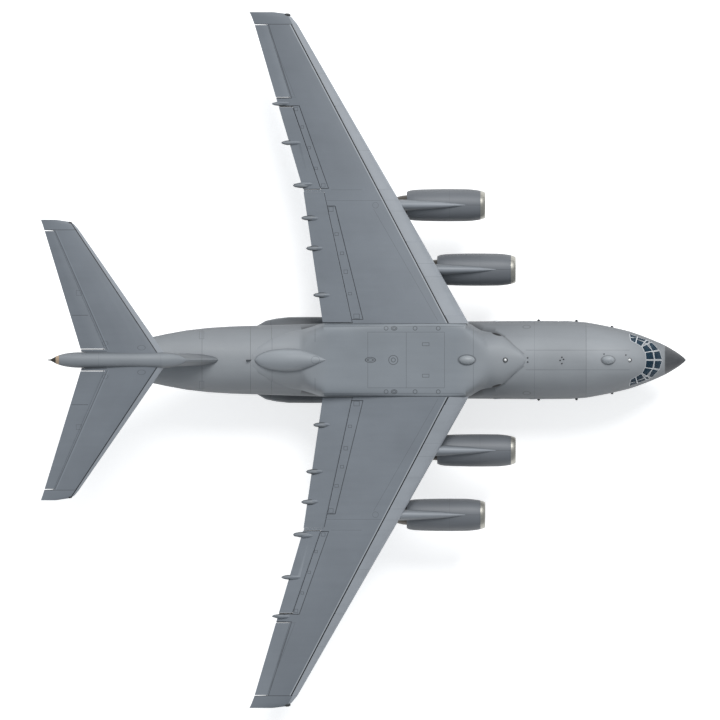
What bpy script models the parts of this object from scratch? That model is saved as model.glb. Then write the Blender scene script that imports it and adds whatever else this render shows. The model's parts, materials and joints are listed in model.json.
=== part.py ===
"""Four-engined military transport plane with a high swept wing and a T-tail.

The model is half of full size and stands on its landing gear. Every length in
this file is a full-size metre, and SCALE turns the finished meshes into model
metres. +X points to the nose, +Y to port and +Z up. The origin is on the
floor, in the middle of the plane's length and span.
"""
import math

import bmesh
import bpy
from mathutils import Matrix, Vector

SCALE = 0.5
SEAM = 0.0003 / SCALE
RUNNING = 0.024
MERGE = 0.00002
FLAT_ANGLE = math.radians(0.005)

# Fuselage: x, half-width, belly height, crown height.
BODY = (
    (-20.03, 0.42, 5.75, 6.50),
    (-18.00, 1.02, 5.18, 6.64),
    (-15.25, 1.71, 4.30, 6.76),
    (-12.42, 2.23, 3.22, 6.83),
    (-9.74, 2.44, 2.16, 6.85),
    (-7.78, 2.50, 1.54, 6.85),
    (-5.50, 2.58, 1.18, 6.85),
    (-3.07, 2.65, 1.15, 6.85),
    (7.74, 2.81, 1.15, 6.85),
    (12.67, 2.85, 1.15, 6.85),
    (15.42, 2.82, 1.15, 6.85),
    (17.09, 2.57, 1.22, 6.84),
    (18.54, 2.26, 1.40, 6.72),
    (19.29, 2.07, 1.54, 6.54),
    (20.00, 1.83, 1.72, 6.24),
    (20.50, 1.64, 1.86, 5.92),
    (21.02, 1.43, 2.04, 5.48),
    (21.58, 1.19, 2.27, 4.86),
    (21.79, 1.095, 2.36, 4.64),
    (22.31, 0.805, 2.62, 4.22),
    (22.91, 0.42, 2.96, 3.80),
    (23.22, 0.174, 3.22, 3.56),
)
NOSE_TIP = (23.37, 0.0, 3.39)
BODY_POINTS = 24
# Sections where the fuselage's skin bends, from the tail to the nose.
BODY_MARKS = (
    -20.03, -18.9, -17.6, -15.90, -14.4, -12.9, -11.3, -9.74, -8.7, -7.6, -6.73, -5.5, -3.07,
    2.30, 7.74, 12.67, 15.0, 16.07, 17.09, 18.54, 19.29, 20.0, 20.5, 21.02, 21.58,
)
WALL = 0.18
NOSE_WALL = 0.14
FLOOR_Z = 2.35
DECK_Z = 3.95

# Where one fuselage section ends and the next begins.
RADOME_X = 21.79
NOSE_X = 16.07
FORWARD_X = 7.74
CENTRE_X = -6.73
REAR_X = -15.90
TAIL_X = -20.03
COCKPIT_FRONT_X = 21.62

# Flight deck windows of the port side, corners in plan: (x, y).
WINDOWS = (
    ((20.44, 0.51), (20.89, 0.57), (20.99, 0.09), (20.48, 0.07)),
    ((20.21, 0.94), (20.50, 1.09), (20.86, 0.67), (20.37, 0.61)),
    ((19.81, 1.46), (20.27, 1.30), (20.08, 1.04), (19.77, 1.22)),
    ((19.32, 1.62), (19.72, 1.56), (19.64, 1.28), (19.40, 1.43)),
    ((21.05, 0.56), (21.41, 0.62), (21.58, 0.09), (21.11, 0.09)),
    ((20.68, 1.17), (20.89, 1.24), (21.31, 0.78), (20.93, 0.70)),
    ((20.40, 1.27), (20.50, 1.38), (20.65, 1.35), (20.53, 1.23)),
    ((19.88, 1.64), (20.40, 1.46), (20.31, 1.35), (19.84, 1.50)),
    ((19.29, 1.86), (19.76, 1.71), (19.72, 1.60), (19.34, 1.69)),
)
WINDOW_LOW = 4.30
GLASS_THICKNESS = 0.05
GLASS_BACK_X = 19.29
GLASS_LOW_Z = 4.45

# Crew door on the port side, hinged along its lower edge.
DOOR_X = (14.10, 15.15)
DOOR_Z = (2.50, 4.40)

# Cargo ramp and the door behind it.
RAMP_X = (-6.90, -11.50)
RAMP_HALF_WIDTH = 1.60
RAMP_TOP = (2.35, 3.30)
CARGO_DOOR_X = -15.50
CARGO_DOOR_HALF_WIDTH = (1.60, 0.72)
RAMP_LEAN = 0.40
KNUCKLE_RADIUS = 0.09
KNUCKLE_SETBACK = 0.06
KNUCKLE_SIDES = 16

# Fairing over the wing: x, half-width, top height.
FAIRING = (
    (11.72, 0.10, 6.84),
    (11.58, 0.38, 6.90),
    (11.30, 0.62, 6.97),
    (10.98, 0.82, 7.02),
    (10.50, 1.12, 7.07),
    (9.94, 1.57, 7.14),
    (9.26, 1.96, 7.22),
    (8.39, 2.25, 7.30),
    (7.66, 2.66, 7.42),
    (2.30, 2.66, 7.52),
    (-3.01, 2.66, 7.34),
    (-3.84, 2.36, 7.22),
    (-4.57, 2.18, 7.12),
    (-5.50, 2.04, 7.00),
    (-6.60, 1.70, 6.90),
    (-8.00, 1.20, 6.80),
)
FAIRING_LOW = 5.92
FAIRING_CORNER = 0.26

# Teardrop blister on the fairing: x, half-width, height over the crown.
BLISTER = (
    (-2.68, 0.04, 0.46),
    (-3.40, 0.34, 0.60),
    (-4.40, 0.66, 0.72),
    (-5.75, 0.84, 0.70),
    (-6.90, 0.76, 0.52),
    (-7.60, 0.50, 0.30),
    (-7.95, 0.16, 0.08),
)
CROWN_Z = 6.85

# Low domes: x, half-length, half-width, height, name of the node below.
DOMES = (
    (17.68, 0.475, 0.29, 0.20, "nose_section"),
    (10.22, 0.26, 0.16, 0.22, "wing_fairing"),
    (7.10, 0.58, 0.33, 0.22, "wing_fairing"),
)

# Gear fairing: x, outer y, half-height. Its inner side lies in the fuselage.
GEAR_FAIRING = (
    (6.40, 2.30, 0.30),
    (5.60, 2.72, 0.62),
    (4.40, 2.98, 0.86),
    (3.00, 3.10, 0.94),
    (-3.83, 3.14, 0.94),
    (-5.50, 3.13, 0.92),
    (-6.42, 3.03, 0.84),
    (-7.16, 2.87, 0.66),
    (-7.76, 2.52, 0.40),
)
GEAR_FAIRING_Z = 2.34
GEAR_FAIRING_INNER = 0.9
GEAR_FLAT_Z = 1.46

# Wing: span station, leading edge x, trailing edge x, thickness, height, twist.
WING = (
    (2.66, 7.57, -3.01, 1.22, 6.62, 0.030),
    (12.33, 2.08, -4.43, 0.74, 6.14, 0.015),
    (24.39, -4.88, -7.98, 0.31, 5.52, 0.0),
    (24.90, -5.30, -8.17, 0.24, 5.49, 0.0),
    (25.14, -5.76, -8.28, 0.16, 5.48, 0.0),
    (25.25, -6.60, -8.35, 0.07, 5.475, 0.0),
)
TAILPLANE = (
    (0.20, -14.25, -20.32, 0.62, 14.36, 0.0),
    (9.42, -20.63, -23.13, 0.26, 14.20, 0.0),
    (9.80, -20.95, -23.25, 0.20, 14.19, 0.0),
    (9.98, -21.25, -23.32, 0.14, 14.19, 0.0),
    (10.14, -22.30, -23.37, 0.06, 14.19, 0.0),
)
# The fin stands: its span is its height and its thickness lies along y.
FIN = (
    (6.20, -10.10, -19.05, 0.98, 0.0, 0.0),
    (13.90, -15.90, -21.00, 0.60, 0.0, 0.0),
)
CHORD_FRACTIONS = (0.0, 0.012, 0.05, 0.13, 0.27, 0.44, 0.62, 0.80, 1.0)
WING_CAMBER = 0.012

# Moving surfaces: span of the opening, x of its front at both ends, gap at
# the ends of the surface.
INNER_FLAP = (2.66, 12.26, -0.84, -2.92, 0.08)
OUTER_FLAP = (12.34, 18.42, -3.12, -5.21, 0.07)
AILERON = (19.02, 24.36, -5.28, -6.98, 0.05)
ELEVATOR = (0.75, 9.38, -18.60, -22.40, 0.06)
RUDDER = (7.30, 13.30, -16.75, -19.15, 0.06)
FLAP_NOSE_GAP = 0.03
FLAP_AXIS_RISE = 0.06
PIN_RADIUS = 0.03

# Spoilers: span from and to, front x at both ends, aft x at both ends.
INNER_SPOILER = (2.97, 11.14, -0.12, -2.14, -0.90, -2.67)
OUTER_SPOILER = (12.46, 18.42, -2.62, -4.74, -3.15, -5.18)
SPOILER_THICKNESS = 0.07
SPOILER_GAP = 0.03

# Flap track pods: span station, x of the tip behind the trailing edge, flap.
PODS = (
    (18.62, -6.68, "wing"),
    (15.76, -5.92, "flap_outer"),
    (12.75, -5.11, "flap_outer"),
    (10.27, -4.54, "flap_inner"),
    (8.09, -4.19, "flap_inner"),
    (4.69, -3.65, "flap_inner"),
)
POD_HALF_WIDTH = 0.17
POD_DEPTH = 0.34
POD_RISE = 0.05
POD_LEAD = 1.50

# Tail bullet: x, radius across, radius up.
BULLET_Z = 14.36
BULLET = (
    (-12.82, 0.03, 0.03),
    (-13.20, 0.24, 0.26),
    (-13.90, 0.40, 0.43),
    (-15.20, 0.51, 0.56),
    (-17.20, 0.54, 0.60),
    (-20.60, 0.58, 0.60),
    (-21.60, 0.44, 0.46),
    (-22.34, 0.24, 0.25),
    (-22.70, 0.09, 0.09),
    (-22.87, 0.02, 0.02),
)

# Engines: lip front x, y, axis height.
ENGINES = (
    ("inner", 10.99, 6.56, 4.80),
    ("outer", 8.78, 11.24, 4.58),
)
# Turned profiles of the engine, x behind the lip and radius.
COWL_PROFILE = (
    (0.0, 0.94), (0.06, 1.00), (0.40, 1.09), (1.30, 1.165), (3.40, 1.16),
    (5.59, 1.05), (5.59, 1.01), (1.05, 0.94), (0.38, 0.85), (0.06, 0.88),
)
CORE_PROFILE = (
    (1.75, 0.0), (1.75, 0.34), (2.30, 0.48), (3.60, 0.60), (5.30, 0.56),
    (6.30, 0.42), (6.30, 0.36), (6.05, 0.30), (6.78, 0.0),
)
FAN_PROFILE = (
    (0.72, 0.0), (0.86, 0.14), (1.10, 0.26), (1.34, 0.31), (1.64, 0.32),
    (1.64, 0.10), (1.75 - SEAM, 0.10), (1.75 - SEAM, 0.0),
)
ENGINE_SIDES = 16
FAN_BLADES = 10
FAN_TIP_RADIUS = 0.90
VANES = 4

# Landing gear.
MAIN_WHEEL_RADIUS = 0.65
MAIN_AXLES_X = (1.40, -0.70, -2.80)
MAIN_AXLE_Y = 2.30
MAIN_WIDTH = 0.42
MAIN_SPACING = 0.68
NOSE_WHEEL_RADIUS = 0.52
NOSE_WIDTH = 0.28
NOSE_SPACING = 0.56
NOSE_AXLE_X = 17.05
BAY_X = (16.30, 18.50)
BAY_HALF_WIDTH = 0.82
BAY_TOP = 2.20
AXLE_RADIUS = 0.08
BORE_SIDES = 8
POST_SIDES = 6
WHEEL_SIDES = 16


def clear_scene():
    """Remove what the scene holds at the start."""
    for old in list(bpy.data.objects):
        bpy.data.objects.remove(old, do_unlink=True)


def make_material(name, colour, roughness, metallic=0.0):
    """A plain finish for one kind of surface."""
    material = bpy.data.materials.new(name)
    material.use_nodes = True
    shader = material.node_tree.nodes["Principled BSDF"]
    shader.inputs["Base Color"].default_value = (*colour, 1.0)
    shader.inputs["Roughness"].default_value = roughness
    shader.inputs["Metallic"].default_value = metallic
    material.diffuse_color = (*colour, 1.0)
    return material


clear_scene()
BODY_GREY = make_material("body_grey", (0.25, 0.27, 0.29), 0.55)
WING_GREY = make_material("wing_grey", (0.18, 0.20, 0.22), 0.55)
NACELLE_GREY = make_material("nacelle_grey", (0.12, 0.14, 0.15), 0.5)
RADOME_GREY = make_material("radome_grey", (0.085, 0.09, 0.095), 0.6)
BARE_METAL = make_material("bare_metal", (0.50, 0.49, 0.46), 0.35, 1.0)
DARK_METAL = make_material("dark_metal", (0.10, 0.10, 0.11), 0.4, 1.0)
TYRE_BLACK = make_material("tyre_black", (0.02, 0.02, 0.022), 0.85)
WINDOW_GLASS = make_material("window_glass", (0.03, 0.06, 0.09), 0.1)
INTERIOR_GREY = make_material("interior_grey", (0.20, 0.22, 0.21), 0.7)


def add_object(name, bm, material=None):
    """Turn a bmesh into a linked object whose faces point out."""
    bmesh.ops.triangulate(bm, faces=bm.faces)
    bmesh.ops.recalc_face_normals(bm, faces=bm.faces)
    if bm.calc_volume(signed=True) < 0.0:
        bmesh.ops.reverse_faces(bm, faces=bm.faces)
    mesh = bpy.data.meshes.new(name)
    bm.to_mesh(mesh)
    bm.free()
    obj = bpy.data.objects.new(name, mesh)
    if material:
        mesh.materials.append(material)
    bpy.context.scene.collection.objects.link(obj)
    return obj


def loft(name, rings, material=None):
    """Closed solid through rings of points. A ring of one point is a tip."""
    bm = bmesh.new()
    rows = [[bm.verts.new(point) for point in ring] for ring in rings]
    for row, following in zip(rows, rows[1:]):
        count = max(len(row), len(following))
        for i in range(count):
            j = (i + 1) % count
            if len(row) == 1:
                bm.faces.new((row[0], following[j], following[i]))
            elif len(following) == 1:
                bm.faces.new((row[i], row[j], following[0]))
            else:
                bm.faces.new((row[i], row[j], following[j]))
                bm.faces.new((row[i], following[j], following[i]))
    for row in (rows[0], rows[-1]):
        if len(row) > 2:
            bm.faces.new(row)
    return add_object(name, bm, material)


def turned(name, profile, sides, place, material=None, closed=False):
    """Solid turned about an axis. place(along, a, b) puts a point in space."""
    bm = bmesh.new()
    rows = []
    for along, radius in profile:
        if radius == 0.0:
            rows.append([bm.verts.new(place(along, 0.0, 0.0))])
            continue
        row = []
        for k in range(sides):
            angle = 2.0 * math.pi * (k + 0.5) / sides
            row.append(bm.verts.new(place(along, radius * math.cos(angle), radius * math.sin(angle))))
        rows.append(row)
    pairs = list(zip(rows, rows[1:]))
    if closed:
        pairs.append((rows[-1], rows[0]))
    for row, following in pairs:
        for i in range(sides):
            j = (i + 1) % sides
            if len(row) == 1:
                bm.faces.new((row[0], following[j], following[i]))
            elif len(following) == 1:
                bm.faces.new((row[i], row[j], following[0]))
            else:
                bm.faces.new((row[i], row[j], following[j], following[i]))
    return add_object(name, bm, material)


def prism(name, outline, low, high, material=None, place=None):
    """Upright solid over an outline in plan, or as place(x, y, z) turns it."""
    place = place or (lambda x, y, z: (x, y, z))
    rings = [[place(x, y, z) for x, y in outline] for z in (low, high)]
    return loft(name, rings, material)


def block(name, x_range, y_range, z_range, material=None):
    """Box between two corners."""
    (x0, x1), (y0, y1) = x_range, y_range
    outline = ((x0, y0), (x1, y0), (x1, y1), (x0, y1))
    return prism(name, outline, z_range[0], z_range[1], material)


def is_closed(bm):
    """Whether a bmesh has faces and each edge joins two of them."""
    return len(bm.faces) > 0 and all(len(edge.link_faces) == 2 for edge in bm.edges)


def tidied(mesh):
    """A Boolean's result with stray points merged and flat faces made whole."""
    for flat_angle in (FLAT_ANGLE, 0.0, None):
        bm = bmesh.new()
        bm.from_mesh(mesh)
        if flat_angle is not None:
            bmesh.ops.triangulate(bm, faces=bm.faces)
            bmesh.ops.remove_doubles(bm, verts=bm.verts, dist=MERGE)
            bmesh.ops.dissolve_degenerate(bm, edges=bm.edges, dist=MERGE)
        if flat_angle:
            bmesh.ops.dissolve_limit(bm, angle_limit=flat_angle, verts=bm.verts, edges=bm.edges)
        bmesh.ops.triangulate(bm, faces=bm.faces)
        if is_closed(bm):
            return bm
        bm.free()
    return None


def volume_of(mesh):
    """Volume of a closed mesh."""
    bm = bmesh.new()
    bm.from_mesh(mesh)
    volume = bm.calc_volume(signed=True)
    bm.free()
    return volume


def volume_limits(operation, first, second):
    """Least and greatest volume that a Boolean of two solids can leave."""
    if operation == "UNION":
        return max(first, second), first + second
    if operation == "DIFFERENCE":
        return first - second, first
    return 0.0, min(first, second)


def combine(obj, other, operation):
    """Apply a Boolean to obj and take the other solid away."""
    low, high = volume_limits(operation, volume_of(obj.data), volume_of(other.data))
    slack = 1e-5 * high
    modifier = obj.modifiers.new("cut", "BOOLEAN")
    modifier.object = other
    modifier.operation = operation
    for solver in ("EXACT", "MANIFOLD"):
        modifier.solver = solver
        graph = bpy.context.evaluated_depsgraph_get()
        result = bpy.data.meshes.new_from_object(obj.evaluated_get(graph))
        bm = tidied(result)
        if bm and slack < bm.calc_volume(signed=True) < high + slack:
            if bm.calc_volume(signed=True) > low - slack:
                break
    obj.modifiers.clear()
    old = obj.data
    if bm:
        bm.to_mesh(result)
        bm.free()
    obj.data = result
    bpy.data.meshes.remove(old)
    bpy.data.objects.remove(other, do_unlink=True)
    return obj


def cut(obj, *cutters):
    """Take cutters out of obj."""
    for cutter in cutters:
        combine(obj, cutter, "DIFFERENCE")
    return obj


def join(obj, *others):
    """Fuse other solids to obj."""
    for other in others:
        combine(obj, other, "UNION")
    return obj


def keep_inside(obj, limit):
    """Keep what obj shares with a limiting solid."""
    return combine(obj, limit, "INTERSECT")


def pivot(obj, point):
    """Put the object's origin on its joint's axis."""
    target = Vector(point)
    obj.data.transform(Matrix.Translation(-target))
    obj.location = target


HINGES = {}


def hinge(obj, start, end):
    """Record a joint's axis from start to end and put the origin on it."""
    HINGES[obj.name] = (Vector(start) * SCALE, (Vector(end) - Vector(start)).normalized())
    pivot(obj, start)


def blend_table(table, x):
    """Values of a table at x, on curves through its rows."""
    rows = sorted(table)
    x = min(max(x, rows[0][0]), rows[-1][0])
    index = 0
    while index < len(rows) - 2 and rows[index + 1][0] < x:
        index += 1
    (x0, *low), (x1, *high) = rows[index], rows[index + 1]
    before = rows[max(index - 1, 0)]
    after = rows[min(index + 2, len(rows) - 1)]
    span = x1 - x0
    t = (x - x0) / span
    values = []
    for column in range(len(low)):
        slope = (high[column] - low[column]) / span
        slopes = []
        for near, far in ((before, rows[index + 1]), (rows[index], after)):
            chord = (far[column + 1] - near[column + 1]) / (far[0] - near[0])
            limit = 2.0 * abs(slope)
            slopes.append(max(-limit, min(limit, chord)) if chord * slope > 0.0 else 0.0)
        values.append(
            (2 * t ** 3 - 3 * t ** 2 + 1) * low[column]
            + (t ** 3 - 2 * t ** 2 + t) * span * slopes[0]
            + (3 * t ** 2 - 2 * t ** 3) * high[column]
            + (t ** 3 - t ** 2) * span * slopes[1]
        )
    return values


def body_ring(x, inset=0.0, floor=None):
    """Oval ring of the fuselage at x, flat at the floor where one is given."""
    half_width, belly, crown = blend_table(BODY, x)
    centre = (belly + crown) / 2
    width = half_width - inset
    height = (crown - belly) / 2 - inset
    ring = []
    for k in range(BODY_POINTS):
        angle = 2.0 * math.pi * k / BODY_POINTS
        z = centre + height * math.cos(angle)
        if floor is not None:
            z = max(z, floor)
        ring.append((x, width * math.sin(angle), z))
    return ring


def body_solid(name, start, end, inset=0.0, floor=None, material=None):
    """Solid stretch of the fuselage."""
    marks = [start] + [x for x in BODY_MARKS if start < x < end] + [end]
    rings = [body_ring(x, inset, floor(x) if floor else None) for x in marks]
    return loft(name, rings, material)


def hold_floor(x):
    """Height of the load floor, which climbs with the ramp's upper side."""
    hinge_x, end_x = RAMP_X
    if x > hinge_x:
        return RAMP_TOP[0]
    share = min((hinge_x - x) / (hinge_x - end_x), 1.0)
    return RAMP_TOP[0] + share * (RAMP_TOP[1] - RAMP_TOP[0])


def belly_at(x):
    """Height of the belly at x."""
    return blend_table(BODY, x)[1]


def crown_at(x):
    """Height of the crown at x."""
    return blend_table(BODY, x)[2]


def dome(x, half_length, half_width, height, base_z):
    """Low dome that stands on a surface at base_z."""
    rings = []
    for level, share in ((-0.25, 1.0), (0.0, 1.0), (0.45, 0.86), (0.8, 0.55)):
        ring = []
        for k in range(12):
            angle = 2.0 * math.pi * k / 12
            ring.append((
                x + half_length * share * math.cos(angle),
                half_width * share * math.sin(angle),
                base_z + level * height,
            ))
        rings.append(ring)
    rings.append([(x, 0.0, base_z + height)])
    return loft("dome", rings)


def make_radome():
    """Dark pointed nose cover."""
    rings = [body_ring(x) for x in (RADOME_X, 22.05, 22.31, 22.61, 22.91, 23.08, 23.22)]
    rings.append([NOSE_TIP])
    return loft("radome", rings, RADOME_GREY)


def make_nose_section():
    """Hollow nose with the flight deck, its windows and the nose gear bay."""
    nose = body_solid("nose_section", NOSE_X + SEAM, RADOME_X - SEAM, material=BODY_GREY)
    for x, half_length, half_width, height, carrier in DOMES:
        if carrier == "nose_section":
            join(nose, dome(x, half_length, half_width, height, crown_at(x) - 0.03))
    cut(nose, body_solid("room", NOSE_X - 0.3, COCKPIT_FRONT_X, NOSE_WALL, lambda x: DECK_Z))
    for corners in WINDOWS:
        for side in (1, -1):
            outline = [(x, side * y) for x, y in corners]
            cut(nose, prism("window", outline, WINDOW_LOW, CROWN_Z + 0.5))
    bay = block("bay", BAY_X, (-BAY_HALF_WIDTH, BAY_HALF_WIDTH), (0.5, BAY_TOP))
    return cut(nose, bay)


def make_cockpit_glass():
    """One curved band of glass behind all window frames."""
    inset = NOSE_WALL + 2 * SEAM
    back, front = GLASS_BACK_X, COCKPIT_FRONT_X - 0.02
    glass = body_solid("cockpit_glass", back, front, inset, material=WINDOW_GLASS)
    cut(glass, body_solid("inner", back - 0.1, front + 0.1, inset + GLASS_THICKNESS))
    limit = block("limit", (GLASS_BACK_X, 22.0), (-3.0, 3.0), (GLASS_LOW_Z, 8.0))
    return keep_inside(glass, limit)


def make_flight_deck():
    """Instrument coaming and two seats on one base, seen through the glass."""
    z0 = DECK_Z + SEAM
    deck = block("flight_deck", (19.0, 20.9), (-0.75, 0.75), (z0, z0 + 0.06), INTERIOR_GREY)
    panel = prism(
        "panel",
        ((20.75, z0), (20.75, 4.62), (20.3, 4.78), (20.2, 4.7), (20.45, z0)),
        -0.72,
        0.72,
        place=lambda x, z, y: (x, y, z),
    )
    join(deck, panel)
    for side in (1, -1):
        y = side * 0.45
        seat = block("seat", (19.25, 19.75), (y - 0.22, y + 0.22), (z0 + 0.02, z0 + 0.38))
        back = prism(
            "back",
            ((19.12, z0 + 0.3), (19.28, z0 + 0.3), (19.22, 5.05), (19.06, 5.05)),
            y - 0.2,
            y + 0.2,
            place=lambda x, z, y: (x, y, z),
        )
        join(seat, back)
        join(deck, seat)
    return deck


def crew_door_limit(grow):
    """Box that marks the crew door or, grown, its opening."""
    x_range = (DOOR_X[0] - grow, DOOR_X[1] + grow)
    return block("door_limit", x_range, (1.5, 3.5), (DOOR_Z[0] - grow, DOOR_Z[1] + grow))


def make_forward_fuselage():
    """Hollow section between the nose and the wing, and its crew door."""
    barrel = body_solid("forward_fuselage", FORWARD_X + SEAM, NOSE_X - SEAM, material=BODY_GREY)
    cut(barrel, body_solid("room", FORWARD_X - 0.3, NOSE_X + 0.3, WALL, hold_floor))
    door = copy_solid(barrel, "crew_door")
    keep_inside(door, crew_door_limit(0.0))
    cut(barrel, crew_door_limit(RUNNING))
    low = DOOR_Z[0]
    half_width, belly, crown = blend_table(BODY, DOOR_X[0])
    centre = (belly + crown) / 2
    y = half_width * math.sqrt(1.0 - ((low - centre) / ((crown - belly) / 2)) ** 2)
    axis_y = y - 0.03
    axis_z = low + 0.03
    tip = RUNNING - SEAM
    for x, outward in ((DOOR_X[0], -1), (DOOR_X[1], 1)):
        join(door, pivot_cone((x, axis_y, axis_z), (outward, 0.0, 0.0), tip, 0.022))
    hinge(door, (DOOR_X[1], axis_y, axis_z), (DOOR_X[0], axis_y, axis_z))
    return barrel, door


def pivot_cone(base, direction, length, radius):
    """Pointed pin on a joint's axis, whose tip lies at the fixed face."""
    axis = Vector(direction).normalized()
    helper = Vector((0.0, 0.0, 1.0)) if abs(axis.z) < 0.9 else Vector((1.0, 0.0, 0.0))
    across = axis.cross(helper).normalized()
    up = axis.cross(across)
    rings = []
    for share in (-1.0, 0.0):
        centre = Vector(base) + axis * share * 2.0 * radius
        rings.append([
            centre + (across * math.cos(k * math.pi / 4) + up * math.sin(k * math.pi / 4)) * radius
            for k in range(8)
        ])
    rings.append([Vector(base) + axis * length])
    return loft("pin", rings)


def make_centre_fuselage():
    """Hollow section under the wing."""
    barrel = body_solid("centre_fuselage", CENTRE_X + SEAM, FORWARD_X - SEAM, material=BODY_GREY)
    room = body_solid("room", CENTRE_X - 0.1, FORWARD_X + 0.3, WALL, lambda x: FLOOR_Z)
    return cut(barrel, room)


def split_x(z):
    """Where the ramp ends and the cargo door begins at height z."""
    return RAMP_X[1] + RAMP_LEAN * (z - belly_at(RAMP_X[1]))


def ramp_limit(front_x, grow):
    """Solid that marks the cargo ramp or, grown, its opening in the belly."""
    low_z, high_z = 0.5, 4.0
    width = RAMP_HALF_WIDTH + grow
    outline = (
        (front_x, low_z),
        (front_x, high_z),
        (split_x(high_z) - grow, high_z),
        (split_x(low_z) - grow, low_z),
    )
    return prism("ramp_limit", outline, -width, width, place=lambda x, z, y: (x, y, z))


def cargo_door_limit(back_x, grow):
    """Solid that marks the cargo door or, grown, its opening."""
    front, back = CARGO_DOOR_HALF_WIDTH
    rings = []
    for z in (1.0, 4.95):
        front_x = split_x(z) - RUNNING + grow
        rings.append([
            (front_x, front + grow, z),
            (front_x, -front - grow, z),
            (back_x, -back - grow, z),
            (back_x, back + grow, z),
        ])
    return loft("door_limit", rings)


def knuckle(x, z, radius, half_length):
    """Hinge tube along y."""
    return turned(
        "knuckle",
        ((-half_length, 0.0), (-half_length, radius), (half_length, radius), (half_length, 0.0)),
        KNUCKLE_SIDES,
        lambda along, a, b: (x + a, along, z + b),
    )


def copy_solid(obj, name):
    """A second object with its own mesh."""
    twin = obj.copy()
    twin.data = obj.data.copy()
    twin.name = name
    bpy.context.scene.collection.objects.link(twin)
    return twin


def make_rear_fuselage():
    """Hollow upswept section with its ramp and cargo door."""
    barrel = body_solid("rear_fuselage", REAR_X + SEAM, CENTRE_X - SEAM, material=BODY_GREY)
    open_marks = (REAR_X - 0.2, -14.4, -12.9, RAMP_X[1] - 0.2)
    rings = [body_ring(x, WALL) for x in open_marks]
    floor_marks = (RAMP_X[1], -9.74, -8.7, -7.6, RAMP_X[0], CENTRE_X + 0.1)
    rings += [body_ring(x, WALL, hold_floor(x)) for x in floor_marks]
    cut(barrel, loft("room", rings))

    ramp = copy_solid(barrel, "cargo_ramp")
    door = copy_solid(barrel, "cargo_door")
    hole = (KNUCKLE_RADIUS + SEAM) / math.cos(math.pi / KNUCKLE_SIDES)

    keep_inside(ramp, ramp_limit(RAMP_X[0] - KNUCKLE_SETBACK, 0.0))
    cut(barrel, ramp_limit(RAMP_X[0], RUNNING))
    axis_x = RAMP_X[0] - KNUCKLE_SETBACK
    axis_z = belly_at(axis_x) + 0.08
    join(ramp, knuckle(axis_x, axis_z, KNUCKLE_RADIUS, 0.40))
    cut(barrel, knuckle(axis_x, axis_z, hole, 0.40 + SEAM))
    hinge(ramp, (axis_x, 0.4, axis_z), (axis_x, -0.4, axis_z))

    back_x = CARGO_DOOR_X + KNUCKLE_SETBACK
    keep_inside(door, cargo_door_limit(back_x, 0.0))
    cut(barrel, cargo_door_limit(CARGO_DOOR_X, RUNNING))
    axis_z = belly_at(back_x) + WALL
    join(door, knuckle(back_x, axis_z, KNUCKLE_RADIUS, 0.40))
    cut(barrel, knuckle(back_x, axis_z, hole, 0.40 + SEAM))
    hinge(door, (back_x, 0.4, axis_z), (back_x, -0.4, axis_z))
    return barrel, ramp, door


def make_tail_cone():
    """Solid end of the fuselage under the rudder."""
    return body_solid("tail_cone", TAIL_X, REAR_X - SEAM, material=BODY_GREY)


def grown_body(start, end):
    """The fuselage's outside, a seam larger, to cut what sits on it."""
    return body_solid("grown_body", start, end, -SEAM)


class Panel:
    """Wing-like solid. place(x, span, height) puts its points in space."""

    def __init__(self, table, place, camber=0.0):
        self.table = table
        self.place = place
        self.camber = camber

    def station(self, span):
        """Leading edge, trailing edge, thickness, height and twist at a span."""
        rows = self.table
        for low, high in zip(rows, rows[1:]):
            if span <= high[0]:
                break
        share = (span - low[0]) / (high[0] - low[0])
        return [a + (b - a) * share for a, b in zip(low[1:], high[1:])]

    def heights(self, fraction, span):
        """Lower and upper skin at a fraction of the chord."""
        lead, trail, thickness, middle, twist = self.station(span)
        chord = lead - trail
        f = fraction
        half = 5.0 * thickness * (
            0.2969 * math.sqrt(f) - 0.126 * f - 0.3516 * f ** 2 + 0.2843 * f ** 3 - 0.1015 * f ** 4
        )
        line = middle + chord * (twist * (0.5 - f) + self.camber * 4.0 * f * (1.0 - f))
        return line - half, line + half

    def skin(self, x, span):
        """Lower and upper skin at x."""
        lead, trail = self.station(span)[:2]
        fraction = min(max((lead - x) / (lead - trail), 0.0), 1.0)
        return self.heights(fraction, span)

    def ring(self, span, grow=0.0):
        """Closed section at a span, from the trailing edge round the nose."""
        lead, trail = self.station(span)[:2]
        upper, lower = [], []
        for f in CHORD_FRACTIONS:
            low, high = self.heights(f, span)
            x = lead + (trail - lead) * f + grow * (1.0 - 2.0 * f)
            upper.append((x, high + grow))
            lower.append((x, low - grow))
        lead_x, lead_z = lower[0]
        points = upper[:0:-1] + [(lead_x, lead_z + grow)] + lower[1:]
        return [self.place(x, span, z) for x, z in points]

    def solid(self, name, spans, material=None, grow=0.0):
        """Loft through the sections at the given spans."""
        return loft(name, [self.ring(span, grow) for span in spans], material)

    def section(self, name, ends, points_at, material=None):
        """Loft between two spans whose sections points_at(span) gives."""
        rings = [[self.place(x, span, z) for x, z in points_at(span)] for span in ends]
        return loft(name, rings, material)


def along(table, span):
    """x of a cut's front edge at a span."""
    first, last, x0, x1 = table[:4]
    return x0 + (x1 - x0) * (span - first) / (last - first)


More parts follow.
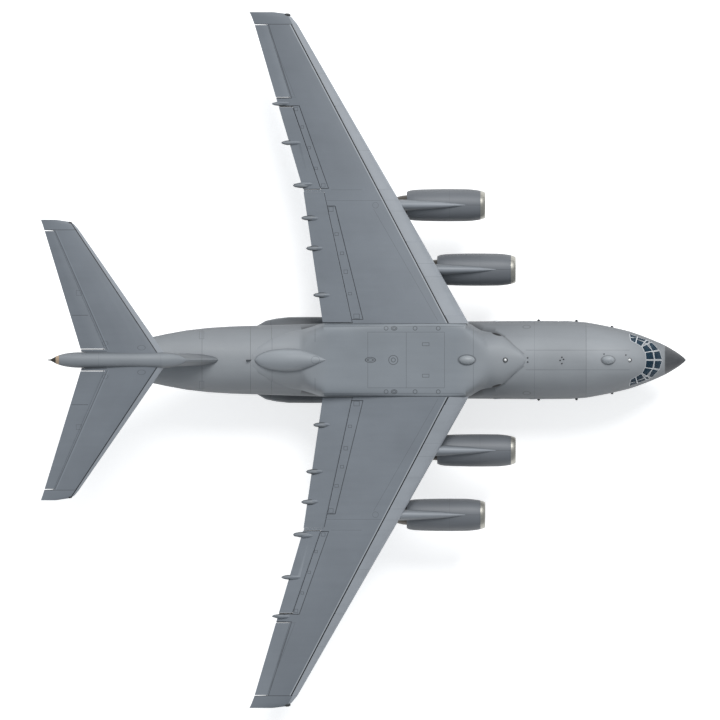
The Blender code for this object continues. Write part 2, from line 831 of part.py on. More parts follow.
def make_round_nosed(panel, body, name, table, material):
    """Surface that turns about an axis in its round nose, cut from the body."""
    first, last, *_, gap = table

    def nose(span):
        front = along(table, span) - RUNNING
        low, high = panel.skin(front, span)
        radius = (high - low) / 2
        axis_x = front - radius
        low, high = panel.skin(axis_x, span)
        return axis_x, (low + high) / 2, (high - low) / 2

    def surface_points(span):
        axis_x, middle, radius = nose(span)
        trail = panel.station(span)[1]
        upper, lower = [], []
        for share in (1.0, 0.5, 0.0):
            x = axis_x + (trail - axis_x) * share
            low, high = panel.skin(x, span)
            upper.append((x, high))
            lower.append((x, low))
        arc = []
        for degrees in (60, 30, 0, -30, -60):
            angle = math.radians(degrees)
            arc.append((axis_x + radius * math.cos(angle), middle + radius * math.sin(angle)))
        return upper + arc + lower[::-1]

    def opening_points(span):
        axis_x, middle, radius = nose(span)
        radius += RUNNING
        trail = panel.station(span)[1] - 1.0
        points = [(trail, middle + 1.0), (axis_x, middle + 1.0)]
        for degrees in (90, 60, 30, 0, -30, -60, -90):
            angle = math.radians(degrees)
            points.append((axis_x + radius * math.cos(angle), middle + radius * math.sin(angle)))
        return points + [(axis_x, middle - 1.0), (trail, middle - 1.0)]

    ends = (first + gap, last - gap)
    surface = panel.section(name, ends, surface_points, material)
    cut(body, panel.section("opening", (first, last), opening_points))
    axis = [Vector(panel.place(nose(s)[0], s, nose(s)[1])) for s in ends]
    direction = (axis[1] - axis[0]).normalized()
    step = (gap - SEAM) * (axis[1] - axis[0]).length / (ends[1] - ends[0])
    join(surface, pivot_cone(axis[0], -direction, step, PIN_RADIUS))
    join(surface, pivot_cone(axis[1], direction, step, PIN_RADIUS))
    return surface, axis


def make_flap(panel, name, table, pin_end, material):
    """Flap that turns about an axis just above its lower skin."""
    first, last, *_, gap = table

    def axis_at(span):
        x = along(table, span) - FLAP_NOSE_GAP - FLAP_AXIS_RISE
        return x, panel.skin(x, span)[0] + FLAP_AXIS_RISE

    def points_at(span):
        axis_x, axis_z = axis_at(span)
        front = axis_x + FLAP_AXIS_RISE
        trail = panel.station(span)[1]
        points = []
        for x in (trail, (trail + axis_x) / 2, front - FLAP_AXIS_RISE):
            points.append((x, panel.skin(x, span)[1]))
        points.append((front, panel.skin(front, span)[1] - 0.04))
        for degrees in (0, -30, -60, -90):
            angle = math.radians(degrees)
            points.append((
                axis_x + FLAP_AXIS_RISE * math.cos(angle),
                axis_z + FLAP_AXIS_RISE * math.sin(angle),
            ))
        middle_x = (trail + axis_x) / 2
        points.append((middle_x, panel.skin(middle_x, span)[0]))
        points.append((trail, panel.skin(trail, span)[0]))
        return points

    ends = (first + gap, last - gap)
    flap = panel.section(name, ends, points_at, material)
    axis = [Vector(panel.place(axis_at(s)[0], s, axis_at(s)[1])) for s in ends]
    direction = (axis[1] - axis[0]).normalized()
    step = (gap - SEAM) / abs(direction.y)
    if pin_end == "outer":
        join(flap, pivot_cone(axis[1], direction, step, PIN_RADIUS))
    return flap, axis


def pod_ring(panel, x, span, half_width, depth, rise, centre_z):
    """Oval section of a flap track pod, with its own rise over the centre."""
    ring = []
    for k in range(8):
        angle = 2.0 * math.pi * k / 8
        y = span + half_width * math.cos(angle)
        reach = rise if math.sin(angle) > 0.0 else depth
        ring.append(panel.place(x, y, centre_z + reach * math.sin(angle)))
    return ring


def make_pod(panel, span, front_x, back_x, tip_x):
    """Canoe-shaped pod under the wing, or the stretch of it that a flap carries."""
    low = panel.skin(back_x, span)[0]
    trail = panel.station(span)[1]
    trail_z = sum(panel.skin(trail, span)) / 2
    rings = []
    if front_x is not None:
        lead_z = panel.skin(front_x, span)[0]
        rings.append(pod_ring(panel, front_x, span, 0.03, 0.04, 0.04, lead_z - 0.02))
        rings.append(pod_ring(panel, front_x - 0.45, span, 0.13, 0.22, POD_RISE, lead_z))
        rings.append(pod_ring(panel, back_x, span, POD_HALF_WIDTH, POD_DEPTH, POD_RISE, low))
    if tip_x is not None:
        if front_x is None:
            rings.append(pod_ring(panel, back_x, span, 0.10, 0.05, 0.03, low + 0.03))
            x = back_x - 0.45
            low = panel.skin(x, span)[0]
            rings.append(pod_ring(panel, x, span, POD_HALF_WIDTH, POD_DEPTH, POD_RISE, low))
        for ahead, over in ((0.90, -0.02), (0.55, 0.11)):
            low, high = panel.skin(trail + ahead, span)
            rise = high - low + over
            rings.append(pod_ring(panel, trail + ahead, span, POD_HALF_WIDTH, 0.22, rise, low))
        rings.append(pod_ring(panel, trail + 0.15, span, 0.17, 0.18, 0.18, trail_z))
        rings.append(pod_ring(panel, tip_x, span, 0.03, 0.03, 0.03, trail_z))
    return loft("pod", rings)


def spoiler_outline(table, side_grow, front_grow, back_grow):
    """Plan of a spoiler, grown at its ends, front and back."""
    first, last, f0, f1, b0, b1 = table

    def at(span, x0, x1):
        return x0 + (x1 - x0) * (span - first) / (last - first)

    lower, upper = first - side_grow, last + side_grow
    return (
        (at(lower, f0, f1) + front_grow, lower),
        (at(upper, f0, f1) + front_grow, upper),
        (at(upper, b0, b1) - back_grow, upper),
        (at(lower, b0, b1) - back_grow, lower),
    )


def make_spoiler(panel, wing, whole_wing, name, table):
    """Plate let into the wing's upper skin, hinged along its front edge."""
    def column(outline):
        points = [panel.place(x, y, 0.0)[:2] for x, y in outline]
        return prism("column", points, 4.5, 9.0)

    plate = copy_solid(whole_wing, name)
    keep_inside(plate, column(spoiler_outline(table, 0.0, 0.0, 0.0)))
    below = copy_solid(whole_wing, "below")
    below.data.transform(Matrix.Translation((0.0, 0.0, -SPOILER_THICKNESS)))
    cut(plate, below)

    pocket = column(spoiler_outline(table, SPOILER_GAP, SPOILER_GAP, 0.12))
    below = copy_solid(whole_wing, "below")
    below.data.transform(Matrix.Translation((0.0, 0.0, -SPOILER_THICKNESS - RUNNING)))
    cut(pocket, below)
    cut(wing, pocket)

    first, last, f0, f1 = table[:4]
    axis = []
    for span, x in ((first, f0), (last, f1)):
        axis_x = x - 0.025
        axis.append(Vector(panel.place(axis_x, span, panel.skin(axis_x, span)[1] - 0.03)))
    direction = (axis[1] - axis[0]).normalized()
    step = (SPOILER_GAP - SEAM) / abs(direction.y)
    join(plate, pivot_cone(axis[0], -direction, step, 0.018))
    join(plate, pivot_cone(axis[1], direction, step, 0.018))
    return plate, axis


def side_name(name, side):
    """Name of the piece on the port or starboard side."""
    return name + ("_left" if side > 0 else "_right")


def hinge_down(obj, axis):
    """Joint whose positive angle brings the trailing edge down."""
    inner, outer = sorted(axis, key=lambda point: point.y)
    hinge(obj, outer, inner)


def wing_panel(side):
    """The wing's shape on one side."""
    return Panel(WING, lambda x, s, h: (x, side * s, h), WING_CAMBER)


def make_wing(side):
    """One wing with its flaps, aileron and spoilers."""
    panel = wing_panel(side)
    spans = [WING[0][0] + SEAM] + [row[0] for row in WING[1:]]
    whole = panel.solid("whole", spans, WING_GREY)
    wing = copy_solid(whole, side_name("wing", side))

    aileron, axis = make_round_nosed(panel, wing, side_name("aileron", side), AILERON, WING_GREY)
    hinge_down(aileron, axis)

    for table, start in ((INNER_FLAP, 2.0), (OUTER_FLAP, INNER_FLAP[1] - 0.01)):
        first, last = start, table[1]
        outline = [panel.place(x, s, 0.0)[:2] for x, s in (
            (along(table, first), first),
            (along(table, last), last),
            (-9.5, last),
            (-9.5, first),
        )]
        cut(wing, prism("opening", outline, 4.0, 9.0))

    span = (INNER_FLAP[1] + OUTER_FLAP[0]) / 2
    half = (OUTER_FLAP[0] - INNER_FLAP[1]) / 2
    front = along(OUTER_FLAP, OUTER_FLAP[0]) + 0.30
    back = along(OUTER_FLAP, OUTER_FLAP[0]) - 0.26
    low = panel.skin(back, span)[0] + 0.01
    high = panel.skin(back, span)[1] - 0.10
    y_range = sorted((side * (span - half), side * (span + half)))
    join(wing, block("bracket", (back, front), y_range, (low, high)))

    for name, table in (("inner", INNER_SPOILER), ("outer", OUTER_SPOILER)):
        plate, axis = make_spoiler(panel, wing, whole, side_name("spoiler_" + name, side), table)
        inner, outer = sorted(axis, key=lambda point: point.y)
        hinge(plate, inner, outer)
    bpy.data.objects.remove(whole, do_unlink=True)

    flaps = {}
    for name, table in (("flap_inner", INNER_FLAP), ("flap_outer", OUTER_FLAP)):
        flaps[name] = make_flap(panel, side_name(name, side), table, "outer", WING_GREY)

    for span, tip_x, carrier in PODS:
        table = INNER_FLAP if carrier == "flap_inner" else OUTER_FLAP
        cut_x = along(table, min(span, table[1]))
        front_x = cut_x + POD_LEAD
        if carrier == "wing":
            join(wing, make_pod(panel, span, front_x, cut_x, tip_x))
            continue
        join(wing, make_pod(panel, span, front_x, cut_x + 0.10, None))
        flap = flaps[carrier][0]
        join(flap, make_pod(panel, span, None, cut_x - FLAP_NOSE_GAP - 0.08, tip_x))
    for flap, axis in flaps.values():
        hinge_down(flap, axis)


def make_fairing():
    """Saddle over the wing with its spine and blister, set on the fuselage."""
    rings = []
    for x, width, top in FAIRING:
        corner = min(FAIRING_CORNER, 0.45 * width)
        half = [
            (width - corner, top),
            (width - 0.3 * corner, top - 0.25 * corner),
            (width, top - 0.9 * corner),
            (width, FAIRING_LOW),
        ]
        ring = [(x, y, z) for y, z in half] + [(x, -y, z) for y, z in reversed(half)]
        rings.append(ring)
    fairing = loft("wing_fairing", rings, WING_GREY)
    rings = []
    base_z = CROWN_Z - 0.15
    for x, width, height in BLISTER:
        rise = height + CROWN_Z - base_z
        rings.append([
            (x, width * math.cos(k * math.pi / 6), base_z + rise * math.sin(k * math.pi / 6))
            for k in range(12)
        ])
    join(fairing, loft("blister", rings))
    for x, half_length, half_width, height, carrier in DOMES:
        if carrier == "wing_fairing":
            top = blend_table([(row[0], row[2]) for row in FAIRING], x)[0]
            join(fairing, dome(x, half_length, half_width, height, top - 0.03))
    return cut(fairing, grown_body(-9.74, 15.0))


def make_gear_fairing(side):
    """Long fairing along the lower side that holds the main legs."""
    rings = []
    for x, outer, half_height in GEAR_FAIRING:
        middle = (outer + GEAR_FAIRING_INNER) / 2
        half_width = (outer - GEAR_FAIRING_INNER) / 2
        ring = []
        for k in range(16):
            angle = 2.0 * math.pi * (k + 0.5) / 16
            c, s = math.cos(angle), math.sin(angle)
            y = middle + half_width * math.copysign(abs(c) ** 0.6, c)
            z = GEAR_FAIRING_Z + half_height * math.copysign(abs(s) ** 0.6, s)
            ring.append((x, side * y, z))
        rings.append(ring)
    fairing = loft(side_name("gear_fairing", side), rings, BODY_GREY)
    cut(fairing, block("under", (-9.0, 8.0), (-4.0, 4.0), (0.0, GEAR_FLAT_Z)))
    beside = RAMP_HALF_WIDTH + 2.5 * RUNNING
    cut(fairing, block("beside", (-9.0, RAMP_X[0] + RUNNING), (-beside, beside), (0.0, 4.0)))
    return cut(fairing, grown_body(-9.74, 7.74))


def make_bullet(name, grow=0.0):
    """Pointed fairing where the tailplane meets the fin."""
    rings = []
    for x, width, height in BULLET:
        rings.append([
            (
                x,
                (width + grow) * math.cos(k * math.pi / 7),
                BULLET_Z + (height + grow) * math.sin(k * math.pi / 7),
            )
            for k in range(14)
        ])
    return loft(name, rings, BODY_GREY)


def make_fin():
    """Fin and rudder."""
    panel = Panel(FIN, lambda x, s, h: (x, h, s))
    fin = panel.solid("fin", [row[0] for row in FIN], BODY_GREY)
    rudder, axis = make_round_nosed(panel, fin, "rudder", RUDDER, BODY_GREY)
    cut(fin, grown_body(TAIL_X, -8.7))
    cut(fin, make_bullet("grown_bullet", SEAM))
    hinge(rudder, axis[0], axis[1])


def make_tailplane(side):
    """Half of the tailplane and its elevator."""
    panel = Panel(TAILPLANE, lambda x, s, h: (x, side * s, h))
    name = side_name("tailplane", side)
    tailplane = panel.solid(name, [row[0] for row in TAILPLANE], WING_GREY)
    elevator, axis = make_round_nosed(
        panel, tailplane, side_name("elevator", side), ELEVATOR, WING_GREY
    )
    cut(tailplane, make_bullet("grown_bullet", SEAM))
    hinge_down(elevator, axis)


def make_nacelle():
    """Cowl and core at the origin, joined by guide vanes."""
    def place(back, a, b):
        return (-back, a, b)

    nacelle = turned("nacelle", COWL_PROFILE, ENGINE_SIDES, place, NACELLE_GREY, closed=True)
    core = turned("core", CORE_PROFILE, ENGINE_SIDES, place)
    for k in range(VANES):
        angle = 2.0 * math.pi * (k + 0.5) / VANES
        vane = block("vane", (-3.10, -2.45), (-0.03, 0.03), (0.35, 1.02))
        vane.data.transform(Matrix.Rotation(angle, 4, "X"))
        join(core, vane)
    return join(nacelle, core)


def make_fan():
    """Spinner, shaft stub and blades at the origin."""
    def place(back, a, b):
        return (-back, a, b)

    fan = turned("fan", FAN_PROFILE, FAN_BLADES, place, DARK_METAL)
    bm = bmesh.new()
    for k in range(FAN_BLADES):
        turn = Matrix.Rotation(2.0 * math.pi * k / FAN_BLADES, 3, "X")
        sections = []
        for radius, half_chord, lean in ((0.20, 0.13, 0.55), (FAN_TIP_RADIUS, 0.17, 1.05)):
            ring = []
            for sign, thick in ((1, 0.012), (1, -0.012), (-1, -0.012), (-1, 0.012)):
                x = -1.47 + sign * half_chord * math.cos(lean) - thick * math.sin(lean)
                y = sign * half_chord * math.sin(lean) + thick * math.cos(lean)
                ring.append(bm.verts.new(turn @ Vector((x, y, radius))))
            sections.append(ring)
        for i in range(4):
            j = (i + 1) % 4
            bm.faces.new((sections[0][i], sections[0][j], sections[1][j], sections[1][i]))
        bm.faces.new(sections[0])
        bm.faces.new(sections[1])
    return join(fan, add_object("blades", bm))


def make_pylon(name, lip_x, y, axis_z, side):
    """Strut between a cowl and the wing, cut to the shape of both."""
    panel = wing_panel(side)
    lead = panel.station(y)[0]
    lead_z = sum(panel.skin(lead, y)) / 2
    top = axis_z + 1.17
    low = axis_z + 0.86
    rows = (
        (lip_x - 1.42, 0.02, top - 0.10, top + 0.01),
        (lip_x - 3.20, 0.20, low, top + 0.30),
        (lead + 0.50, 0.36, low, lead_z + 0.02),
        (lead - 0.10, 0.40, low, lead_z + 0.10),
        (lead - 1.60, 0.36, low + 0.10, lead_z + 0.10),
        (lead - 3.60, 0.06, panel.skin(lead - 3.60, y)[0] - 0.05, lead_z),
    )
    rings = []
    for x, width, z0, z1 in rows:
        rings.append([
            (x, side * y + width, z0), (x, side * y + width, z1 - 0.3 * width),
            (x, side * y + 0.4 * width, z1), (x, side * y - 0.4 * width, z1),
            (x, side * y - width, z1 - 0.3 * width), (x, side * y - width, z0),
        ])
    pylon = loft(name, rings, WING_GREY)
    profile = [(along_x, radius + SEAM) for along_x, radius in COWL_PROFILE[:6]]
    last = profile[-1]
    profile = [(-0.02, 0.0), (-0.02, 0.94)] + profile[1:-1]
    profile += [(last[0] + SEAM, last[1]), (last[0] + SEAM, 0.0)]
    plug = turned(
        "plug", profile, ENGINE_SIDES, lambda back, a, b: (lip_x - back, side * y + a, axis_z + b)
    )
    cut(pylon, plug)
    spans = [WING[0][0] + SEAM] + [row[0] for row in WING[1:]]
    cut(pylon, panel.solid("grown_wing", spans, grow=SEAM))
    return pylon


def make_engines():
    """Four engines, each a nacelle, a fan and a pylon."""
    nacelle = make_nacelle()
    fan = make_fan()
    for side in (1, -1):
        for place_name, lip_x, y, axis_z in ENGINES:
            spot = (lip_x, side * y, axis_z)
            for model, name in ((nacelle, "nacelle_"), (fan, "fan_")):
                twin = bpy.data.objects.new(side_name(name + place_name, side), model.data)
                twin.location = spot
                bpy.context.scene.collection.objects.link(twin)
            fan_name = side_name("fan_" + place_name, side)
            HINGES[fan_name] = (Vector(spot) * SCALE, Vector((1.0, 0.0, 0.0)))
            make_pylon(side_name("pylon_" + place_name, side), lip_x, y, axis_z, side)
    for model in (nacelle, fan):
        bpy.data.objects.remove(model, do_unlink=True)


def make_wheels(name, x, y, radius, width, spacing):
    """Two tyres and rims on one axle, turned about the axle."""
    outer = spacing / 2 + width / 2
    inner = spacing / 2 - width / 2
    half = (
        (outer, 0.0), (outer, 0.86 * radius), (outer - 0.10, radius),
        (inner + 0.10, radius), (inner, 0.86 * radius), (inner, AXLE_RADIUS),
    )
    profile = list(half) + [(-along_y, r) for along_y, r in reversed(half)]
    flat = 1.0 / math.cos(math.pi / WHEEL_SIDES)
    profile = [(along_y, r if r <= AXLE_RADIUS else r * flat) for along_y, r in profile]
    wheels = turned(
        name, profile, WHEEL_SIDES, lambda b, a, c: (x + a, y + b, radius + c), TYRE_BLACK
    )
    hinge(wheels, (x, y, radius), (x, y + 1.0, radius))
    return wheels


def hub(x, y, z, radius, half_width):
    """Sleeve round an axle."""
    return turned(
        "hub",
        ((-half_width, 0.0), (-half_width, radius), (half_width, radius), (half_width, 0.0)),
        BORE_SIDES,
        lambda b, a, c: (x + a, y + b, z + c),
    )


def bore(x, y, z):
    """Hole for an axle, with a running gap."""
    radius = (AXLE_RADIUS + 2 * SEAM) / math.cos(math.pi / BORE_SIDES)
    return hub(x, y, z, radius, 1.0)


def post(x, y, low, high, radius):
    """Upright round post."""
    return turned(
        "post",
        ((low, 0.0), (low, radius), (high, radius), (high, 0.0)),
        POST_SIDES,
        lambda z, a, b: (x + a, y + b, z),
    )


def make_main_gear(side):
    """Three legs on one beam under the gear fairing, with twin wheels."""
    y = side * MAIN_AXLE_Y
    top = GEAR_FLAT_Z - SEAM
    front, back = MAIN_AXLES_X[0] + 0.35, MAIN_AXLES_X[-1] - 0.35
    legs = block(
        side_name("main_legs", side), (back, front), sorted((y - 0.28, y + 0.28)), (top - 0.08, top),
        DARK_METAL,
    )
    names = ("front", "middle", "rear")
    for name, x in zip(names, MAIN_AXLES_X):
        join(legs, post(x, y, MAIN_WHEEL_RADIUS, top - 0.02, 0.105))
        join(legs, hub(x, y, MAIN_WHEEL_RADIUS, 0.15, (MAIN_SPACING - MAIN_WIDTH) / 2 - SEAM))
        stay = prism(
            "stay",
            ((x - 0.08, 0.80), (x - 0.50, top - 0.04), (x - 0.62, top - 0.04), (x - 0.10, 0.70)),
            y - 0.05,
            y + 0.05,
            place=lambda a, z, b: (a, b, z),
        )
        join(legs, stay)
        cut(legs, bore(x, y, MAIN_WHEEL_RADIUS))
        make_wheels(
            side_name("main_wheels_" + name, side), x, y, MAIN_WHEEL_RADIUS, MAIN_WIDTH, MAIN_SPACING
        )
    return legs


def make_nose_gear():
    """Nose leg, steered fork, twin wheels and bay doors."""
    x = NOSE_AXLE_X
    radius = NOSE_WHEEL_RADIUS
    top = BAY_TOP - SEAM
    split_z = 1.22
    leg = post(x, 0.0, split_z, top, 0.13)
    leg.name = "nose_leg"
    leg.data.materials.append(DARK_METAL)
    join(leg, block("plate", (x - 0.35, x + 0.35), (-0.35, 0.35), (top - 0.06, top)))
    join(leg, prism(
        "drag_stay",
        ((x - 0.05, 1.45), (x - 0.60, top - 0.02), (x - 0.74, top - 0.02), (x - 0.05, 1.33)),
        -0.06,
        0.06,
        place=lambda a, z, b: (a, b, z),
    ))
    join(leg, block("tow_plate", (x, x + 0.30), (-0.12, 0.12), (1.30, 1.50)))

    fork = post(x, 0.0, radius, split_z - SEAM, 0.11)
    fork.name = "nose_fork"
    fork.data.materials.append(DARK_METAL)
    join(fork, hub(x, 0.0, radius, 0.14, (NOSE_SPACING - NOSE_WIDTH) / 2 - SEAM))
    join(fork, post(x, 0.0, split_z - 0.10, split_z - SEAM, 0.17))
    cut(fork, bore(x, 0.0, radius))
    hinge(fork, (x, 0.0, radius), (x, 0.0, 2.0))
    make_wheels("nose_wheels", x, 0.0, radius, NOSE_WIDTH, NOSE_SPACING)

    for side in (1, -1):
        y = side * (BAY_HALF_WIDTH - 0.05)
        name = side_name("nose_gear_door", side)
        high = 1.52
        block(name, (BAY_X[0] + 0.05, BAY_X[1] - 0.25), sorted((y, y + side * (0.05 - SEAM))),
              (0.98, high), BODY_GREY)


def to_model_scale():
    """Turn full-size metres into model metres."""
    meshes = set()
    for obj in bpy.context.scene.objects:
        obj.location *= SCALE
        if obj.type == "MESH":
            meshes.add(obj.data)
    for mesh in meshes:
        mesh.transform(Matrix.Scale(SCALE, 4))
        mesh.shade_smooth()
        mesh.set_sharp_from_angle(angle=math.radians(35.0))


make_radome()
make_nose_section()
make_cockpit_glass()
make_flight_deck()
make_forward_fuselage()
make_centre_fuselage()
make_rear_fuselage()
make_tail_cone()
make_fairing()
for SIDE in (1, -1):
    make_gear_fairing(SIDE)
    make_wing(SIDE)
    make_tailplane(SIDE)
    make_main_gear(SIDE)
make_engines()
make_fin()
make_bullet("tail_bullet")
make_nose_gear()
to_model_scale()
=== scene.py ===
# %% [markdown]
# A military transport plane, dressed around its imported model.
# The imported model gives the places, the joints and the main forms. Each cell below takes one
# piece of the plane, says what it is, and gives it its real surface. All lengths are metres of
# the model, which is half of full size: nose to +X, port side to +Y, up to +Z.

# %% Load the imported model
import json
import math

import bmesh
import bpy
from mathutils import Matrix, Vector


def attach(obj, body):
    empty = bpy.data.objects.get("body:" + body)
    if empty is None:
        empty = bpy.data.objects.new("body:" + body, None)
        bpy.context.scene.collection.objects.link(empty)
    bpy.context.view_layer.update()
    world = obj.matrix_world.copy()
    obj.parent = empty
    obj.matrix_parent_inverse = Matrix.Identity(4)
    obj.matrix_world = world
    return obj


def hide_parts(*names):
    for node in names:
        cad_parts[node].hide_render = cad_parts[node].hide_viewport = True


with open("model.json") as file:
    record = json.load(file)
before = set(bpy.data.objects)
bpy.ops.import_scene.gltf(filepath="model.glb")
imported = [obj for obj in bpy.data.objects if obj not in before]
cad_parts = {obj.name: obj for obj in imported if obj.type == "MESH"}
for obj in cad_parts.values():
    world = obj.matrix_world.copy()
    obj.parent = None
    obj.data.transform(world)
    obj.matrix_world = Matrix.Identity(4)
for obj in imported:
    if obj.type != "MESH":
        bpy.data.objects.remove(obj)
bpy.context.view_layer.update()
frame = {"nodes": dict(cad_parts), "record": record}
node_body = {
    node: body for body, nodes in frame["record"]["behaviour"]["bodies"].items() for node in nodes
}
SIDES = (("left", 1), ("right", -1))
HALF = 0.5
scene = bpy.context.scene

# %% [markdown]
# The camera looks straight down from far away with a very long lens, so that the wings and the
# tail show without perspective. The nose points to the right, as in the photograph.

# %% Camera above the plane
VIEW_WIDTH = 26.1
LENS = 1400.0
SENSOR = 36.0
VIEW_LEVEL = 3.6
camera_data = bpy.data.cameras.new("overhead")
camera_data.lens = LENS
camera_data.sensor_width = SENSOR
camera_data.clip_start = 10.0
camera_data.clip_end = 4000.0
camera = bpy.data.objects.new("overhead", camera_data)
camera.location = (-0.156, 0.0, VIEW_LEVEL + VIEW_WIDTH * LENS / SENSOR)
scene.collection.objects.link(camera)
scene.camera = camera
print("camera height", round(camera.location.z, 1))

# %% [markdown]
# A pale studio: a wide white floor, an even sky and one big soft lamp high on the port side. The
# lamp's slope gives the round fuselage its bright and its dark side, as in the photograph.

# %% Floor, sky and lamps
scene.view_settings.view_transform = "Standard"
world = bpy.data.worlds.new("studio")
world.use_nodes = True
world.node_tree.nodes["Background"].inputs["Color"].default_value = (0.90, 0.95, 1.0, 1.0)
world.node_tree.nodes["Background"].inputs["Strength"].default_value = 0.40
scene.world = world

bpy.ops.mesh.primitive_plane_add(size=900.0, location=(0.0, 0.0, 0.0))
floor = bpy.context.object
floor.name = "studio_floor"
floor_paint = bpy.data.materials.new("studio_floor")
floor_paint.use_nodes = True
floor_shader = floor_paint.node_tree.nodes["Principled BSDF"]
floor_shader.inputs["Base Color"].default_value = (0.86, 0.86, 0.86, 1.0)
floor_shader.inputs["Roughness"].default_value = 0.9
floor_shader.inputs["Emission Color"].default_value = (1.0, 1.0, 1.0, 1.0)
floor_shader.inputs["Emission Strength"].default_value = 0.62
floor.data.materials.append(floor_paint)


def hang_sun(name, direction, strength, angle):
    """A soft sun that shines along a direction."""
    light = bpy.data.lights.new(name, "SUN")
    light.energy = strength
    light.angle = math.radians(angle)
    lamp = bpy.data.objects.new(name, light)
    lamp.rotation_euler = Vector(direction).to_track_quat("-Z", "Y").to_euler()
    scene.collection.objects.link(lamp)
    return lamp


hang_sun("key", (-0.22, -0.80, -1.0), 2.25, 30.0)

# %% [markdown]
# Paint is built from small sums on numbers that vary over the surface. A short class wraps a
# socket, so that such a sum can be written as plain arithmetic and the nodes are added by it.

# %% Shader arithmetic
class Wire:
    """A socket that takes part in sums; each sum adds its Math node."""

    def __init__(self, mix, socket):
        self.mix = mix
        self.socket = socket

    def maths(self, operation, *others, clamp=False):
        settings = {"operation": operation, "use_clamp": clamp}
        return self.mix.node("ShaderNodeMath", settings, (self, *others))

    def __add__(self, other):
        return self.maths("ADD", other)

    def __sub__(self, other):
        return self.maths("SUBTRACT", other)

    def __rsub__(self, other):
        return self.mix.node("ShaderNodeMath", {"operation": "SUBTRACT"}, (other, self))

    def __mul__(self, other):
        return self.maths("MULTIPLY", other)

    def __truediv__(self, other):
        return self.maths("DIVIDE", other)

    __radd__ = __add__
    __rmul__ = __mul__

    def size(self):
        return self.maths("ABSOLUTE")

    def most(self, other):
        return self.maths("MAXIMUM", other)

    def above(self, limit, soft=0.004):
        """0 below a limit and 1 above it, with a soft step."""
        return self.maths("SUBTRACT", limit - soft / 2).maths("DIVIDE", soft, clamp=True)

    def within(self, low, high, soft=0.004):
        """1 between two limits."""
        return self.above(low, soft) * (1.0 - self.above(high, soft))

    def near(self, place, half_width):
        """1 on a line at a place, fading over its half width."""
        away = (self - place).size() / half_width
        return (1.0 - away).maths("MAXIMUM", 0.0)


class Finish:
    """A material on its way: coordinates, noise and mixes, then the shader's sockets."""

    def __init__(self, name, roughness=0.5, metallic=0.0, **fixed):
        self.material = bpy.data.materials.new(name)
        self.material.use_nodes = True
        self.tree = self.material.node_tree
        self.shader = self.tree.nodes["Principled BSDF"]
        self.set("Roughness", roughness)
        self.set("Metallic", metallic)
        for socket, value in fixed.items():
            self.set(socket.replace("_", " "), value)
        self.place = self.node("ShaderNodeTexCoord", {}, {}, "Object")
        split = self.node("ShaderNodeSeparateXYZ", {}, {"Vector": self.place}, None)
        self.x, self.y, self.z = (Wire(self, split.outputs[axis]) for axis in "XYZ")
        self.side = self.y.size()

    def set(self, socket, value):
        if isinstance(value, Wire):
            self.tree.links.new(value.socket, self.shader.inputs[socket])
        else:
            self.shader.inputs[socket].default_value = value

    def node(self, kind, settings, inputs, output=0):
        """Add a node: its type, its settings, its sockets' values or links."""
        node = self.tree.nodes.new(kind)
        for key, value in settings.items():
            setattr(node, key, value)
        pairs = inputs.items() if isinstance(inputs, dict) else enumerate(inputs)
        for key, value in pairs:
            if isinstance(value, Wire):
                self.tree.links.new(value.socket, node.inputs[key])
            else:
                node.inputs[key].default_value = value
        return node if output is None else Wire(self, node.outputs[output])

    def noise(self, scale, stretch=(1.0, 1.0, 1.0), detail=3.0, shift=0.0):
        """Cloudy variation from 0 to 1, drawn out along an axis by a small stretch value."""
        moved = self.node(
            "ShaderNodeMapping", {}, {"Vector": self.place, "Scale": stretch, "Location": (shift,) * 3}
        )
        values = {"Vector": moved, "Scale": scale, "Detail": detail}
        return self.node("ShaderNodeTexNoise", {}, values, "Fac")

    def blend(self, share, first, second):
        """Colour that goes from the first to the second by a share."""
        colours = {"Factor": share, "A": first, "B": second}
        node = self.tree.nodes.new("ShaderNodeMix")
        node.data_type = "RGBA"
        for key, value in colours.items():
            socket = next(s for s in node.inputs if s.name == key and s.type != "VECTOR"
                          and (s.type == "RGBA") == (key != "Factor"))
            if isinstance(value, Wire):
                self.tree.links.new(value.socket, socket)
            else:
                socket.default_value = value
        return Wire(self, next(s for s in node.outputs if s.type == "RGBA"))

    def bump(self, height, distance):
        """Raise the surface by a height over a distance in metres."""
        values = {"Height": height, "Distance": distance, "Strength": 1.0}
        self.set("Normal", self.node("ShaderNodeBump", {}, values, "Normal"))


def tint(red, green, blue):
    """Colour from the values that a picture shows, 0 to 255, as a shader needs it."""
    return tuple((v / 255.0) ** 2.2 for v in (red, green, blue)) + (1.0,)


print("shader helpers ready")

# %% [markdown]
# The whole plane wears one matt low-visibility grey. On a real one it is never even: panels differ a little
# and dirt follows the airflow. So each paint takes a base grey, adds cloudy patches and streaks along the
# flight direction, and darkens thin seams. Some paints also get a painted highlight along an edge, or marks
# of painted shade.

# %% Grey paint and its seams
SEAM_WIDTH = 0.016


def lines_of(values, places, width=SEAM_WIDTH):
    """Largest of the thin lines at several places."""
    total = None
    for place in places:
        line = values.near(place, width)
        total = line if total is None else total.most(line)
    return total


